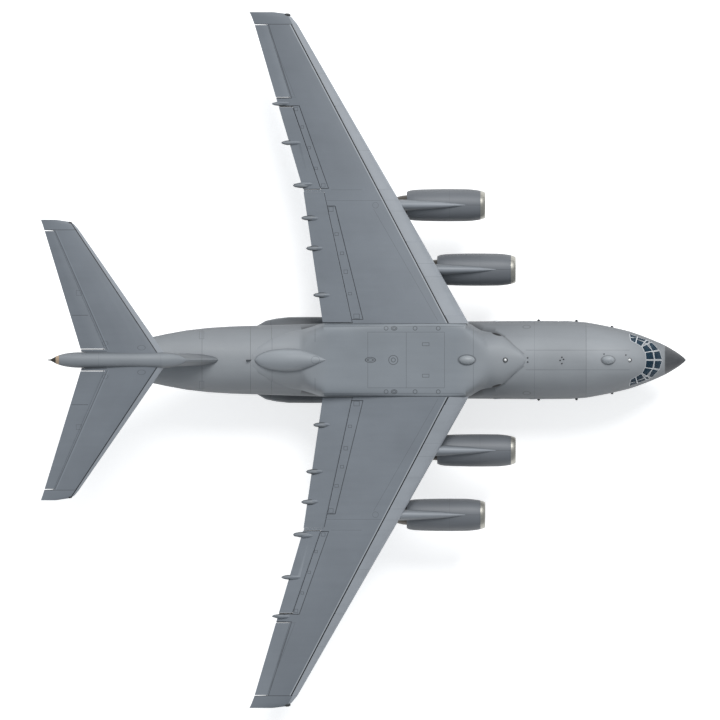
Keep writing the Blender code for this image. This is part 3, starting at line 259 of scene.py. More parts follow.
def grey_paint(name, base, seams=None, marks=None, painted_highlight=None, roughness=0.58, streak=0.22):
    """Matt grey with patches, streaks and dark seams; marks are (mask, colour) pairs, and a last mask adds
    a painted highlight.
    """
    paint = Finish(name, roughness)
    patches = paint.noise(0.55, (1.0, 1.0, 1.0), 3.0)
    streaks = paint.noise(5.0, (0.10, 1.0, 1.0), 4.0, 3.1)
    specks = paint.noise(38.0, (1.0, 1.0, 1.0), 2.0, 7.7)
    tone = (patches - 0.5) * 0.55 + (streaks - 0.5) * streak + (specks - 0.5) * 0.16
    dark = tuple(c * 0.72 for c in base[:3]) + (1.0,)
    light = tuple(min(c * 1.28, 1.0) for c in base[:3]) + (1.0,)
    colour = paint.blend((tone + 0.5).maths("ADD", 0.0, clamp=True), dark, light)
    for mask, mark in (marks(paint) if marks else ()):
        colour = paint.blend(mask, colour, mark)
    height = specks * 0.15
    if seams:
        seam = seams(paint)
        colour = paint.blend(seam * 0.8, colour, tint(40, 43, 46))
        height = height - seam
    # Painted highlight: the mask lifts the colour to the lighter grey.
    if painted_highlight:
        colour = paint.blend(painted_highlight(paint), colour, light)
    paint.set("Base Color", colour)
    paint.set("Roughness", (streaks - 0.5) * 0.25 + roughness)
    paint.bump(height, 0.0015)
    return paint


BODY_BASE = tint(146, 150, 154)
WING_BASE = tint(122, 128, 135)
NACELLE_BASE = tint(108, 112, 117)
print("greys", [round(c, 3) for c in BODY_BASE[:3]])

# %% [markdown]
# Thin seams, hatch outlines and hinge lines are too fine to be worth cutting into the skin of a
# plane this size, and on a real one they are only a few millimetres wide. They are painted: each
# line is a mask that is 1 on the line, worked out from the place on the surface. The places are
# given at full size, as they were measured, and halved.

# %% Painted outlines
def segment(paint, start, end, width=0.011):
    """Mask of a straight line in plan, on both sides of the plane."""
    (x0, y0), (x1, y1) = ((x * HALF, y * HALF) for x, y in (start, end))
    length = math.hypot(x1 - x0, y1 - y0)
    ux, uy = (x1 - x0) / length, (y1 - y0) / length
    along = paint.x * ux + paint.side * uy - (x0 * ux + y0 * uy)
    across = paint.side * ux - paint.x * uy - (y0 * ux - x0 * uy)
    return across.near(0.0, width) * along.within(0.0, length)


def ahead_of(paint, start, end):
    """Distance in plan ahead of a line that runs outboard."""
    (x0, y0), (x1, y1) = ((x * HALF, y * HALF) for x, y in (start, end))
    length = math.hypot(x1 - x0, y1 - y0)
    return (paint.x - x0) * ((y1 - y0) / length) - (paint.side - y0) * ((x1 - x0) / length)


def ring(paint, place, radii, width=0.011):
    """Mask of an oval outline in plan, on both sides of the plane."""
    (x, y), (rx, ry) = ((a * HALF, b * HALF) for a, b in (place, radii))
    dx = (paint.x - x) / rx
    dy = (paint.side - y) / ry
    reach = (dx * dx + dy * dy).maths("SQRT")
    return reach.near(1.0, width / min(rx, ry))


def hatch(paint, place, halves, width=0.010):
    """Mask of a rectangular outline in plan, on both sides of the plane."""
    (x, y), (a, b) = ((p * HALF, q * HALF) for p, q in (place, halves))
    dx = (paint.x - x).size() - a
    dy = (paint.side - y).size() - b
    return dx.most(dy).near(0.0, width)


def strongest(masks):
    """The largest of several masks."""
    total = masks[0]
    for mask in masks[1:]:
        total = total.most(mask)
    return total


def facing(paint):
    """How far the surface faces up: 1 for a roof, 0 for a wall, -1 for a belly."""
    normal = paint.node("ShaderNodeTexCoord", {}, {}, "Normal")
    return paint.node("ShaderNodeSeparateXYZ", {}, {"Vector": normal}, "Z")


def topside(paint):
    """1 where the surface faces up."""
    return facing(paint).above(0.25, 0.2)


def painted_side_shade(paint, share, start=0.95, end=0.25):
    """Mask of painted shade: grows from 0 on a roof to a share on a wall."""
    steep = (start - facing(paint)).maths("DIVIDE", start - end, clamp=True)
    return steep * share


print("outline helpers ready")

# %% [markdown]
# The fuselage is joined from ring-shaped sections, and its skin panels meet in rings and in long
# rows. The seams are painted from the same places that the sections have in the model.

# %% Fuselage paint
BODY_RINGS = (8.045, -3.365, -4.13, -5.885, -7.95)
SADDLE_SHADE = (
    ((7.50, 2.76), (8.03, 2.46), 0.18, 0.75), ((8.03, 2.44), (8.57, 2.17), 0.20, 0.75),
    ((8.57, 2.16), (9.50, 2.04), 0.18, 0.6), ((9.50, 2.04), (10.20, 1.66), 0.08, 0.6),
    ((10.20, 1.66), (10.74, 1.16), 0.05, 0.4), ((10.74, 1.16), (11.60, 0.42), 0.03, 0.4),
    ((-3.00, 2.72), (-4.57, 2.26), 0.15, 0.8),
)


def body_seams(paint):
    """Rings round the fuselage, long seams at set heights and beside the crown, cover outlines, and a
    painted contact shadow round the nose dome.
    """
    rings = lines_of(paint.x, BODY_RINGS, 0.011).most(paint.x.near(6.17, 0.010) * 0.5)
    crown = lines_of(paint.side, (0.345, 0.365), 0.008) * paint.z.above(2.9, 0.02) * 0.55
    crown = crown * paint.x.within(5.85, 9.62)
    rows = lines_of(paint.z, (1.32, 2.02, 2.62), 0.010)
    cloud = paint.noise(1.4, (1.0, 1.0, 1.0), 1.0, 5.0)
    # Cover outlines; the last ring is a painted contact shadow round the nose dome.
    lids_and_dome_shadow = [ring(paint, (11.78, 2.40), (0.27, 0.12)), ring(paint, (-4.9, 0.0), (0.36, 0.30)),
            hatch(paint, (-11.80, 1.82), (0.16, 0.28)), ring(paint, (17.68, 0.0), (0.50, 0.32), 0.022)]
    return (rings.most(crown) * (cloud * 0.8 + 0.45)).most(rows * 0.4).most(strongest(lids_and_dome_shadow) * 0.7)


def body_marks(paint):
    """Painted shade on the flanks, darker streaks low on the belly, and painted shade beside the saddle."""
    belly_darkening = (1.0 - paint.z.above(1.15, 0.9)) * paint.noise(2.2, (0.25, 1.0, 1.0), 4.0, 9.0)
    shade = strongest([segment(paint, a, b, width) * share for a, b, width, share in SADDLE_SHADE])
    # Painted shade on walls and undersides, streaky darkening towards the belly, and painted shade on the
    # skin along the saddle's edge.
    return ((painted_side_shade(paint, 0.84), tint(84, 88, 92)), (belly_darkening * 0.8, tint(70, 72, 72)),
            (shade * topside(paint), tint(58, 61, 64)))


body_paint = grey_paint("body_grey_paint", BODY_BASE, body_seams, body_marks)

# %% [markdown]
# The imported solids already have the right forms, but their triangles are loose and look
# faceted. Each is copied, its doubled points are merged, and it is shaded smooth up to an angle
# that keeps real edges sharp. The copy then stands for the solid and moves with its body.

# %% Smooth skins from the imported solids
MERGE_GAP = 0.00003


def deselect():
    """Leave nothing selected."""
    if bpy.context.object and bpy.context.object.mode != "OBJECT":
        bpy.ops.object.mode_set(mode="OBJECT")
    bpy.ops.object.select_all(action="DESELECT")


def take(obj):
    """Select one object alone and make it the active one."""
    deselect()
    obj.select_set(True)
    bpy.context.view_layer.objects.active = obj


def smooth(obj, degrees=32.0):
    """Shade smooth, with edges sharper than an angle kept hard."""
    take(obj)
    bpy.ops.object.shade_smooth_by_angle(angle=math.radians(degrees))


def loose_copy(node, name):
    """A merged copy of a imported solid, free of the frame."""
    twin = frame["nodes"][node].copy()
    twin.data = frame["nodes"][node].data.copy()
    twin.name = name
    twin.parent = None
    for key in list(twin.keys()):
        del twin[key]
    scene.collection.objects.link(twin)
    twin.hide_render = False
    twin.hide_viewport = False
    twin.hide_set(False)
    take(twin)
    bpy.ops.mesh.customdata_custom_splitnormals_clear()
    bpy.ops.object.mode_set(mode="EDIT")
    bpy.ops.mesh.select_all(action="SELECT")
    bpy.ops.mesh.remove_doubles(threshold=MERGE_GAP)
    bpy.ops.object.mode_set(mode="OBJECT")
    return twin


def wear(obj, paint, body, nodes=()):
    """Give a finished piece its paint, body, slot and the nodes it stands for."""
    obj.data.materials.clear()
    obj.data.materials.append(paint.material)
    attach(obj, body)
    if nodes:
        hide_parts(*nodes)
    return obj


def skin(node, paint, degrees=32.0):
    """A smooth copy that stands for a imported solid."""
    twin = loose_copy(node, node + "_skin")
    smooth(twin, degrees)
    return wear(twin, paint, node_body[node], (node,))


# %% [markdown]
# Round parts, such as cowls, wheels and spinners, are turned like pottery. A profile is drawn
# point by point from one vertex, as with the E key, and then spun about its axis. The spin
# leaves its first and last rows on each other, so the doubles are merged before the normals are
# made to point outwards.

# %% Draw, spin and loft
def draw(name, points):
    """A chain of points, each extruded from the one before; leaves edit mode on."""
    deselect()
    bpy.ops.mesh.primitive_plane_add(size=0.1, location=(0.0, 0.0, 0.0))
    obj = bpy.context.object
    obj.name = name
    bpy.ops.object.mode_set(mode="EDIT")
    bpy.ops.mesh.merge(type="CENTER")
    bpy.ops.transform.translate(value=points[0])
    for start, end in zip(points, points[1:]):
        step = Vector(end) - Vector(start)
        bpy.ops.mesh.extrude_vertices_move(TRANSFORM_OT_translate={"value": step})
    bpy.ops.mesh.select_all(action="SELECT")
    return obj


def close_up(obj):
    """Merge doubles, point the faces outwards and leave edit mode."""
    bpy.ops.mesh.select_all(action="SELECT")
    bpy.ops.mesh.remove_doubles(threshold=MERGE_GAP)
    bpy.ops.mesh.normals_make_consistent(inside=False)
    bpy.ops.object.mode_set(mode="OBJECT")
    return obj


def lathe(name, profile, centre, axis="X", sides=48, degrees=30.0):
    """Spin a profile of (along, radius) points about an axis through a centre."""
    along, out = {"X": ((1, 0, 0), (0, 0, 1)), "Y": ((0, 1, 0), (0, 0, 1)),
                  "Z": ((0, 0, 1), (1, 0, 0))}[axis]
    middle = Vector(centre)
    obj = draw(name, [middle + Vector(along) * a + Vector(out) * r for a, r in profile])
    bpy.ops.mesh.spin(steps=sides, angle=2.0 * math.pi, center=middle, axis=along)
    smooth(close_up(obj), degrees)
    return obj


def loft(name, rings, degrees=30.0):
    """Extrude a circle from ring to ring and lay its points on each ring in turn."""
    deselect()
    bpy.ops.mesh.primitive_circle_add(vertices=len(rings[0]), radius=1.0)
    obj = bpy.context.object
    obj.name = name
    bpy.ops.object.mode_set(mode="EDIT")
    bpy.ops.mesh.select_all(action="SELECT")
    mesh = bmesh.from_edit_mesh(obj.data)
    spot = mesh.verts.layers.int.new("spot")
    for index, vertex in enumerate(mesh.verts):
        vertex[spot] = index
        vertex.co = rings[0][index]
    bmesh.update_edit_mesh(obj.data)
    for ring in rings[1:]:
        bpy.ops.mesh.extrude_edges_move()
        mesh = bmesh.from_edit_mesh(obj.data)
        spot = mesh.verts.layers.int["spot"]
        for vertex in mesh.verts:
            if vertex.select:
                vertex.co = ring[vertex[spot]]
        bmesh.update_edit_mesh(obj.data)
    bpy.ops.mesh.select_all(action="SELECT")
    bpy.ops.mesh.remove_doubles(threshold=MERGE_GAP)
    bpy.ops.mesh.fill_holes(sides=0)
    smooth(close_up(obj), degrees)
    return obj


def plate(name, outline, thickness, bevel=0.0):
    """Flat or gently curved plate: an outline is filled, extruded by a thickness, and its rim rounded if a
    bevel is given.
    """
    obj = draw(name, list(outline) + [outline[0]])
    bpy.ops.mesh.remove_doubles(threshold=MERGE_GAP)
    bpy.ops.mesh.edge_face_add()
    bpy.ops.mesh.extrude_region_move(TRANSFORM_OT_translate={"value": thickness})
    close_up(obj)
    if bevel:
        soften(obj, bevel)
    return obj


def soften(obj, width, segments=2):
    """Round the sharp edges with an applied bevel."""
    take(obj)
    modifier = obj.modifiers.new("rounding", "BEVEL")
    modifier.width = width
    modifier.segments = segments
    modifier.limit_method = "ANGLE"
    bpy.ops.object.modifier_apply(modifier=modifier.name)
    smooth(obj, 40.0)
    return obj


def pipe(name, points, radius):
    """Round bar or line along a chain of points."""
    obj = draw(name, points)
    bpy.ops.object.mode_set(mode="OBJECT")
    bpy.ops.object.convert(target="CURVE")
    obj = bpy.context.object
    obj.data.bevel_depth = radius
    obj.data.bevel_resolution = 2
    obj.data.use_fill_caps = True
    bpy.ops.object.convert(target="MESH")
    obj = bpy.context.object
    obj.name = name
    bpy.ops.object.mode_set(mode="EDIT")
    smooth(close_up(obj), 40.0)
    return obj


def together(name, pieces):
    """Join pieces into one object."""
    take(pieces[0])
    for piece in pieces:
        piece.select_set(True)
    bpy.ops.object.join()
    pieces[0].name = name
    return pieces[0]


def twin_of(obj, name, offset, mirror=False):
    """A copy with its own mesh, moved by an offset and mirrored across the centre if asked."""
    twin = obj.copy()
    twin.data = obj.data.copy()
    twin.name = name
    scene.collection.objects.link(twin)
    twin.data.transform(Matrix.Translation(offset))
    if mirror:
        twin.data.transform(Matrix.Scale(-1.0, 4, (0.0, 1.0, 0.0)))
        twin.data.flip_normals()
    return twin


def carve(obj, cutter, operation="DIFFERENCE", keep=False):
    """Cut one piece with another, as the Boolean modifier does it, and apply the result."""
    take(obj)
    modifier = obj.modifiers.new("carving", "BOOLEAN")
    modifier.object = cutter
    modifier.operation = operation
    modifier.solver = "EXACT"
    modifier.use_self = True
    bpy.ops.object.modifier_apply(modifier=modifier.name)
    if not keep:
        bpy.data.objects.remove(cutter, do_unlink=True)
    return obj


print("helpers ready")

# %% [markdown]
# The inner walls of the fuselage are lined in a pale grey-green, seen when the ramp is down.
# Those faces point towards the fuselage's axis, so they are found by their normals and get the
# lining as a second material.

# %% Fuselage skins
AXIS_Z = 2.0
lining = grey_paint("hold_lining", tint(150, 158, 150), roughness=0.7, streak=0.2)


def line_inside(obj):
    """Give the faces that look towards the fuselage's axis the lining."""
    obj.data.materials.append(lining.material)
    for face in obj.data.polygons:
        outwards = Vector((0.0, face.center.y, face.center.z - AXIS_Z))
        if face.normal.dot(outwards) < 0.0 and abs(face.normal.x) < 0.9:
            face.material_index = 1


for node in ("forward_fuselage", "crew_door", "centre_fuselage", "rear_fuselage", "cargo_ramp",
             "cargo_door"):
    line_inside(skin(node, body_paint))
for node in ("tail_cone", "fin", "rudder", "nose_gear_door_left", "nose_gear_door_right"):
    skin(node, body_paint)
# Gear fairing grey with painted shade on its sides and a painted shadow on its top just behind the wing.
pannier_paint = grey_paint(
    "gear_fairing_paint", tint(116, 120, 124), lambda p: lines_of(p.x, (1.9, 0.0, -1.9, -3.4), 0.010) * 0.8,
    lambda p: ((painted_side_shade(p, 0.5), tint(84, 88, 92)), (p.x.within(-3.4, -1.2, 1.4) * topside(p) * 0.7,
                                                   tint(62, 65, 68))),
)
for side_word, side in SIDES:
    skin("gear_fairing_" + side_word, pannier_paint)

# %% [markdown]
# The nose curves two ways and carries the flight deck windows, so it gets a finer skin than the
# packed one: 72 points a ring instead of 24. Its rings follow the same table of half-widths and
# heights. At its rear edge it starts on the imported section's straight sides, so no step shows.

# %% Nose rings
BODY = (
    (-20.03, 0.42, 5.75, 6.50), (-18.00, 1.02, 5.18, 6.64), (-15.25, 1.71, 4.30, 6.76),
    (-12.42, 2.23, 3.22, 6.83), (-9.74, 2.44, 2.16, 6.85), (-7.78, 2.50, 1.54, 6.85),
    (-5.50, 2.58, 1.18, 6.85), (-3.07, 2.65, 1.15, 6.85), (7.74, 2.81, 1.15, 6.85),
    (12.67, 2.85, 1.15, 6.85), (15.42, 2.82, 1.15, 6.85), (17.09, 2.57, 1.22, 6.84),
    (18.54, 2.26, 1.40, 6.72), (19.29, 2.07, 1.54, 6.54), (20.00, 1.83, 1.72, 6.24),
    (20.50, 1.64, 1.86, 5.92), (21.02, 1.43, 2.04, 5.48), (21.58, 1.19, 2.27, 4.86),
    (21.79, 1.095, 2.36, 4.64), (22.31, 0.805, 2.62, 4.22), (22.91, 0.42, 2.96, 3.80),
    (23.22, 0.174, 3.22, 3.56),
)
NOSE_TIP = (23.37, 0.0, 3.39)
NOSE_X = 16.07
RADOME_X = 21.79
RING_POINTS = 72
COARSE_POINTS = 24


def between_rows(table, x):
    """Values of a table at x, on a smooth curve that doesn't overshoot its rows."""
    x = min(max(x, table[0][0]), table[-1][0])
    index = max(i for i, row in enumerate(table[:-1]) if row[0] <= x)
    (x0, *low), (x1, *high) = table[index], table[index + 1]
    before = table[max(index - 1, 0)]
    after = table[min(index + 2, len(table) - 1)]
    t = (x - x0) / (x1 - x0)
    values = []
    for column, (a, b) in enumerate(zip(low, high)):
        slope = (b - a) / (x1 - x0)
        bends = []
        for near, far in ((before, table[index + 1]), (table[index], after)):
            chord = (far[column + 1] - near[column + 1]) / (far[0] - near[0])
            limit = 2.0 * abs(slope)
            bends.append(max(-limit, min(limit, chord)) if chord * slope > 0.0 else 0.0)
        values.append(
            (2 * t ** 3 - 3 * t ** 2 + 1) * a + (t ** 3 - 2 * t ** 2 + t) * (x1 - x0) * bends[0]
            + (3 * t ** 2 - 2 * t ** 3) * b + (t ** 3 - t ** 2) * (x1 - x0) * bends[1]
        )
    return values


def nose_ring(x, inset=0.0, floor=None):
    """Ring of the nose at x, full-size metres in and model metres out."""
    width, belly, crown = between_rows(BODY, x)
    centre, width, height = (belly + crown) / 2, width - inset, (crown - belly) / 2 - inset
    round_share = min(max((x - NOSE_X) / 0.5, 0.0), 1.0)
    ring_points = []
    for k in range(RING_POINTS):
        spot = k * COARSE_POINTS / RING_POINTS
        first, share = int(spot), spot - int(spot)
        corners = [2.0 * math.pi * (first + i) / COARSE_POINTS for i in (0, 1)]
        flat = [f(corners[0]) * (1 - share) + f(corners[1]) * share for f in (math.sin, math.cos)]
        angle = 2.0 * math.pi * k / RING_POINTS
        curved = (math.sin(angle), math.cos(angle))
        across, up = (a + (b - a) * round_share for a, b in zip(flat, curved))
        z = centre + height * up
        if floor is not None:
            z = max(z, floor)
        ring_points.append(Vector((x, width * across, z)) * HALF)
    return ring_points


def nose_loft(name, start, end, inset=0.0, floor=None, step=0.18, degrees=30.0):
    """Solid stretch of the nose."""
    count = max(2, math.ceil((end - start) / step))
    places = [start + (end - start) * i / count for i in range(count + 1)]
    return loft(name, [nose_ring(x, inset, floor) for x in places], degrees)


print("nose ring width", round(2 * nose_ring(NOSE_X)[18].y, 3))

# %% [markdown]
# The flight deck has two rows of panes in a horseshoe. Each pane's outline in plan is cut out of
# the nose as a column. The panes themselves are the same columns cut out of a thin shell just
# under the skin, so they are curved as the nose is and lie flush. Pale frames are cut from a
# second shell, a little proud, with larger columns less the panes.

# %% Nose and flight deck windows
WINDOWS = (
    ((20.44, 0.51), (20.89, 0.57), (20.99, 0.09), (20.48, 0.07)),
    ((20.21, 0.94), (20.50, 1.09), (20.86, 0.67), (20.37, 0.61)),
    ((19.81, 1.46), (20.27, 1.30), (20.08, 1.04), (19.77, 1.22)),
    ((19.32, 1.62), (19.72, 1.56), (19.64, 1.28), (19.40, 1.43)),
    ((21.05, 0.56), (21.41, 0.62), (21.58, 0.09), (21.11, 0.09)),
    ((20.68, 1.17), (20.89, 1.24), (21.31, 0.78), (20.93, 0.70)),
    ((20.40, 1.27), (20.50, 1.38), (20.65, 1.35), (20.53, 1.23)),
    ((19.88, 1.64), (20.40, 1.46), (20.31, 1.35), (19.84, 1.50)),
    ((19.29, 1.86), (19.76, 1.71), (19.72, 1.60), (19.34, 1.69)),
)
WINDOW_LOW = 4.30
WINDOW_HIGH = 7.4


def window_columns(name, grow):
    """Upright columns over all panes, each outline pushed out from its middle."""
    columns = []
    for corners in WINDOWS:
        middle = sum((Vector(c) for c in corners), Vector((0.0, 0.0))) / 4.0
        for side in (1, -1):
            outline = []
            for corner in corners:
                away = Vector(corner) - middle
                x, y = middle + away + away.normalized() * grow
                outline.append(Vector((x, side * y, WINDOW_LOW)) * HALF)
            height = (0.0, 0.0, (WINDOW_HIGH - WINDOW_LOW) * HALF)
            columns.append(plate(name, outline, height))
    return together(name, columns)


def box_piece(name, low, high):
    """Box between two corners at full size."""
    middle = (Vector(low) + Vector(high)) * HALF / 2.0
    size = (Vector(high) - Vector(low)) * HALF
    deselect()
    bpy.ops.mesh.primitive_cube_add(size=1.0, location=middle, scale=size)
    obj = bpy.context.object
    obj.name = name
    bpy.ops.object.transform_apply(location=True, rotation=True, scale=True)
    return obj


def shell(name, outside, inside):
    """Thin closed shell over the flight deck, between two insets."""
    return carve(nose_loft(name, 19.0, 21.74, outside), nose_loft("inner", 18.9, 21.78, inside))


nose = nose_loft("nose_skin", NOSE_X + 0.0006, RADOME_X - 0.0006)
carve(nose, nose_loft("room", NOSE_X - 0.3, 21.62, 0.14, 3.95))
carve(nose, window_columns("columns", 0.042))
carve(nose, box_piece("bay", (16.30, -0.82, 0.5), (18.50, 0.82, 2.20)))
smooth(nose, 30.0)
nose_paint = grey_paint("nose_paint", tint(152, 156, 160), body_seams, body_marks)
wear(nose, nose_paint, "airframe", ("nose_section",))

glass = Finish("flight_deck_glass", 0.24, 0.0, Specular_IOR_Level=0.08, Alpha=0.75)
haze = glass.noise(3.0, (1.0, 1.0, 1.0), 2.0)
glass.set("Base Color", glass.blend(haze, tint(28, 46, 60), tint(52, 74, 90)))
panes = carve(shell("flight_deck_panes", 0.008, 0.026), window_columns("columns", 0.057), "INTERSECT")
smooth(panes, 25.0)
wear(panes, glass, "airframe", ("cockpit_glass",))

frame_paint = grey_paint("window_frame_paint", tint(206, 209, 212), roughness=0.5, streak=0.2)
frames = shell("flight_deck_frames", -0.006, 0.008)
carve(frames, window_columns("columns", 0.080), "INTERSECT")
carve(frames, window_columns("columns", 0.040))
smooth(frames, 25.0)
wear(frames, frame_paint, "airframe")
print("panes", len(panes.data.polygons), "frames", len(frames.data.polygons))

# %% [markdown]
# The radome is the dark nose cover. It is a lofted shell of a smoother, darker paint, mottled with small
# patches all over, with a paler band where it meets the fuselage.

# %% Radome
radome_paint = Finish("radome_paint", 0.5)
rub = radome_paint.noise(9.0, (0.3, 1.0, 1.0), 4.0)
dark_nose = radome_paint.blend(rub, tint(58, 60, 63), tint(81, 83, 86))
band = radome_paint.x.near(RADOME_X * HALF + 0.012, 0.016)
radome_paint.set("Base Color", radome_paint.blend(band * 0.7, dark_nose, tint(150, 154, 157)))
radome_paint.set("Roughness", rub * 0.2 + 0.42)
radome_paint.bump(rub, 0.001)
rings = [nose_ring(RADOME_X + (23.22 - RADOME_X) * i / 12) for i in range(13)]
nose_tip = Vector(NOSE_TIP) * HALF
rings.append([p.lerp(nose_tip, 0.6) for p in rings[12]])
rings.append([nose_tip] * RING_POINTS)
radome = loft("radome_skin", rings, 60.0)
wear(radome, radome_paint, "airframe", ("radome",))
deck_paint = grey_paint("flight_deck_trim", tint(120, 124, 120), roughness=0.75, streak=0.1)
skin("flight_deck", deck_paint)
print("radome", len(radome.data.polygons))

# %% [markdown]
# The wing's paint is a shade bluer and darker than the fuselage. Its strongest mark is the black line
# behind the slats, with a painted highlight just behind it. Thinner lines show the tip joint, the aileron
# and spoiler edges, round access covers and the joints of the skin panels.

# %% Wing paint
SLAT_LINE = ((6.12, 2.68), (-5.25, 24.36))
WING_LINES = (
    ((-4.6, 11.56), (1.30, 11.56)), ((0.67, 10.95), (5.34, 2.83)), ((-7.05, 24.29), (-5.05, 19.14)),
    ((-6.33, 22.18), (-5.40, 19.30)), ((-0.2, 12.34), (-2.4, 12.34)), ((-4.95, 19.07), (-6.3, 19.07)),
)
WING_EDGES = (
    ((-7.98, 24.36), (-5.25, 24.36)), ((-5.26, 18.99), (-6.38, 18.99)), ((-5.26, 18.99), (-6.96, 24.36)),
    ((-0.09, 2.94), (-2.11, 11.17)), ((-0.09, 2.94), (-0.90, 2.94)), ((-2.11, 11.17), (-2.68, 11.17)),
    ((-2.59, 12.43), (-4.72, 18.45)), ((-4.72, 18.45), (-5.18, 18.45)), ((-2.59, 12.43), (-3.15, 12.43)),
    ((-3.12, 12.32), (-4.43, 12.32)), ((-5.19, 18.44), (-6.2, 18.44)),
)


def wing_seams(paint):
    """Skin joints, covers and the edges of the moving surfaces."""
    fine = [segment(paint, start, end, 0.009) for start, end in WING_LINES]
    fine += [ring(paint, (0.81, 11.22), (0.21, 0.21)), ring(paint, (-4.7, 12.1), (0.16, 0.13))]
    edges = [segment(paint, start, end, 0.019) for start, end in WING_EDGES]
    return (strongest(fine) * 0.62).most(strongest(edges)) * topside(paint)


def wing_marks(paint):
    """The black line behind the slats with a painted highlight behind it, a darker outer wing, the paler
    strip ahead of the line, and soot behind the engines.
    """
    away = ahead_of(paint, *SLAT_LINE)
    line = away.within(-0.042, 0.003, 0.006) * paint.side.within(1.34, 12.18)
    # Painted highlight just behind the black line.
    edge = away.near(-0.066, 0.022) * paint.side.within(1.34, 12.18)
    soot = paint.side.near(3.28, 0.35).most(paint.side.near(5.62, 0.35)) * 0.35
    soot = soot * paint.noise(3.0, (0.15, 1.0, 1.0), 3.0, 2.0) * (1.0 - topside(paint))
    top = topside(paint)
    return ((paint.side.above(8.5, 7.0) * 0.4, tint(98, 104, 111)), (soot, tint(60, 60, 60)),
            (away.above(0.02) * top, tint(150, 155, 161)), (edge * top, tint(176, 181, 186)),
            (line * top, tint(14, 15, 17)))


wing_paint = grey_paint("wing_grey_paint", WING_BASE, wing_seams, wing_marks)
slat_paint = grey_paint(
    "slat_paint", tint(150, 155, 161),
    lambda p: lines_of(p.side, (3.02, 3.50, 5.40, 5.80, 7.6, 10.4), 0.008) * 0.5, roughness=0.45,
)
SPOILER_HATCHES = (
    ((-2.42, 10.94), (0.16, 0.16)), ((-2.01, 9.13), (0.13, 0.10)), ((-1.62, 7.74), (0.12, 0.10)),
    ((-1.35, 6.40), (0.13, 0.13)), ((-1.04, 4.81), (0.12, 0.09)), ((-0.56, 3.16), (0.20, 0.17)),
    ((-4.95, 18.20), (0.12, 0.12)), ((-4.50, 16.9), (0.10, 0.09)), ((-4.0, 15.4), (0.10, 0.09)),
    ((-3.50, 13.9), (0.10, 0.09)), ((-2.98, 12.66), (0.14, 0.12)),
)


def spoiler_seams(paint):
    """Covers along the spoilers."""
    covers = [hatch(paint, place, halves, 0.012) for place, halves in SPOILER_HATCHES]
    return strongest(covers) * topside(paint)


plain_wing = grey_paint("control_surface_paint", WING_BASE)
spoiler_paint = grey_paint("spoiler_paint", WING_BASE, spoiler_seams)
for side_word, side in SIDES:
    skin("wing_" + side_word, wing_paint)
    for part in ("aileron", "flap_inner", "flap_outer"):
        skin(f"{part}_{side_word}", plain_wing)
    for part in ("spoiler_inner", "spoiler_outer"):
        skin(f"{part}_{side_word}", spoiler_paint)

# %% [markdown]
# Slats are shells that wrap the leading edge. Each is the front of the wing itself: the wing is
# cut by a plane along the slat line and by two planes across, and what is left is swelled by a
# few millimetres, so that it stands proud as a real slat does.

# %% Slats
SLAT_SPANS = ((3.26, 8.53), (8.58, 12.32), (12.38, 18.38), (18.44, 24.33))
SLAT_RISE = 0.0045


def slice_off(obj, point, normal):
    """Keep what lies behind a plane and close the cut."""
    take(obj)
    bpy.ops.object.mode_set(mode="EDIT")
    bpy.ops.mesh.select_all(action="SELECT")
    bpy.ops.mesh.bisect(plane_co=point, plane_no=normal, use_fill=True, clear_outer=True)
    bpy.ops.object.mode_set(mode="OBJECT")


def swell(obj, distance):
    """Push the surface outwards along its normals."""
    take(obj)
    modifier = obj.modifiers.new("swell", "DISPLACE")
    modifier.strength = distance
    modifier.mid_level = 0.0
    bpy.ops.object.modifier_apply(modifier=modifier.name)


for side_word, side in SIDES:
    (x0, y0), (x1, y1) = SLAT_LINE
    behind = Vector((y1 - y0, side * (x0 - x1), 0.0)).normalized() * -1.0
    point = Vector((x0, side * y0, 0.0)) * HALF
    slats = []
    for low, high in SLAT_SPANS:
        slat = loose_copy("wing_" + side_word, "slat")
        slice_off(slat, point, behind)
        slice_off(slat, (0.0, side * low * HALF, 0.0), (0.0, -side, 0.0))
        slice_off(slat, (0.0, side * high * HALF, 0.0), (0.0, side, 0.0))
        swell(slat, SLAT_RISE)
        slats.append(slat)
    slats = together("slats_" + side_word, slats)
    smooth(slats, 40.0)
    wear(slats, slat_paint, "airframe")
    print("slats", side_word, len(slats.data.polygons))

# %% [markdown]
# Small pieces have to lie on the wing's skin, so its height is worked out from the same table of
# sections that the wing was built with.

# %% Wing heights
WING = (
    (2.66, 7.57, -3.01, 1.22, 6.62, 0.030), (12.33, 2.08, -4.43, 0.74, 6.14, 0.015),
    (24.39, -4.88, -7.98, 0.31, 5.52, 0.0), (24.90, -5.30, -8.17, 0.24, 5.49, 0.0),
    (25.25, -6.60, -8.35, 0.07, 5.475, 0.0),
)
TAIL = (
    (0.20, -14.25, -20.32, 0.62, 14.36, 0.0), (9.42, -20.63, -23.13, 0.26, 14.20, 0.0),
    (10.14, -22.30, -23.37, 0.06, 14.19, 0.0),
)
WING_CAMBER = 0.012


def panel_heights(table, camber, x, span):
    """Trailing edge x, lower and upper skin of a wing-like panel at a full-size place."""
    low, high = next((a, b) for a, b in zip(table, table[1:]) if span <= b[0] or b is table[-1])
    share = (span - low[0]) / (high[0] - low[0])
    lead, trail, thick, middle, twist = (a + (b - a) * share for a, b in zip(low[1:], high[1:]))
    f = min(max((lead - x) / (lead - trail), 0.0), 1.0)
    half = 5.0 * thick * (
        0.2969 * math.sqrt(f) - 0.126 * f - 0.3516 * f ** 2 + 0.2843 * f ** 3 - 0.1015 * f ** 4
    )
    line = middle + (lead - trail) * (twist * (0.5 - f) + camber * 4.0 * f * (1.0 - f))
    return trail, line - half, line + half


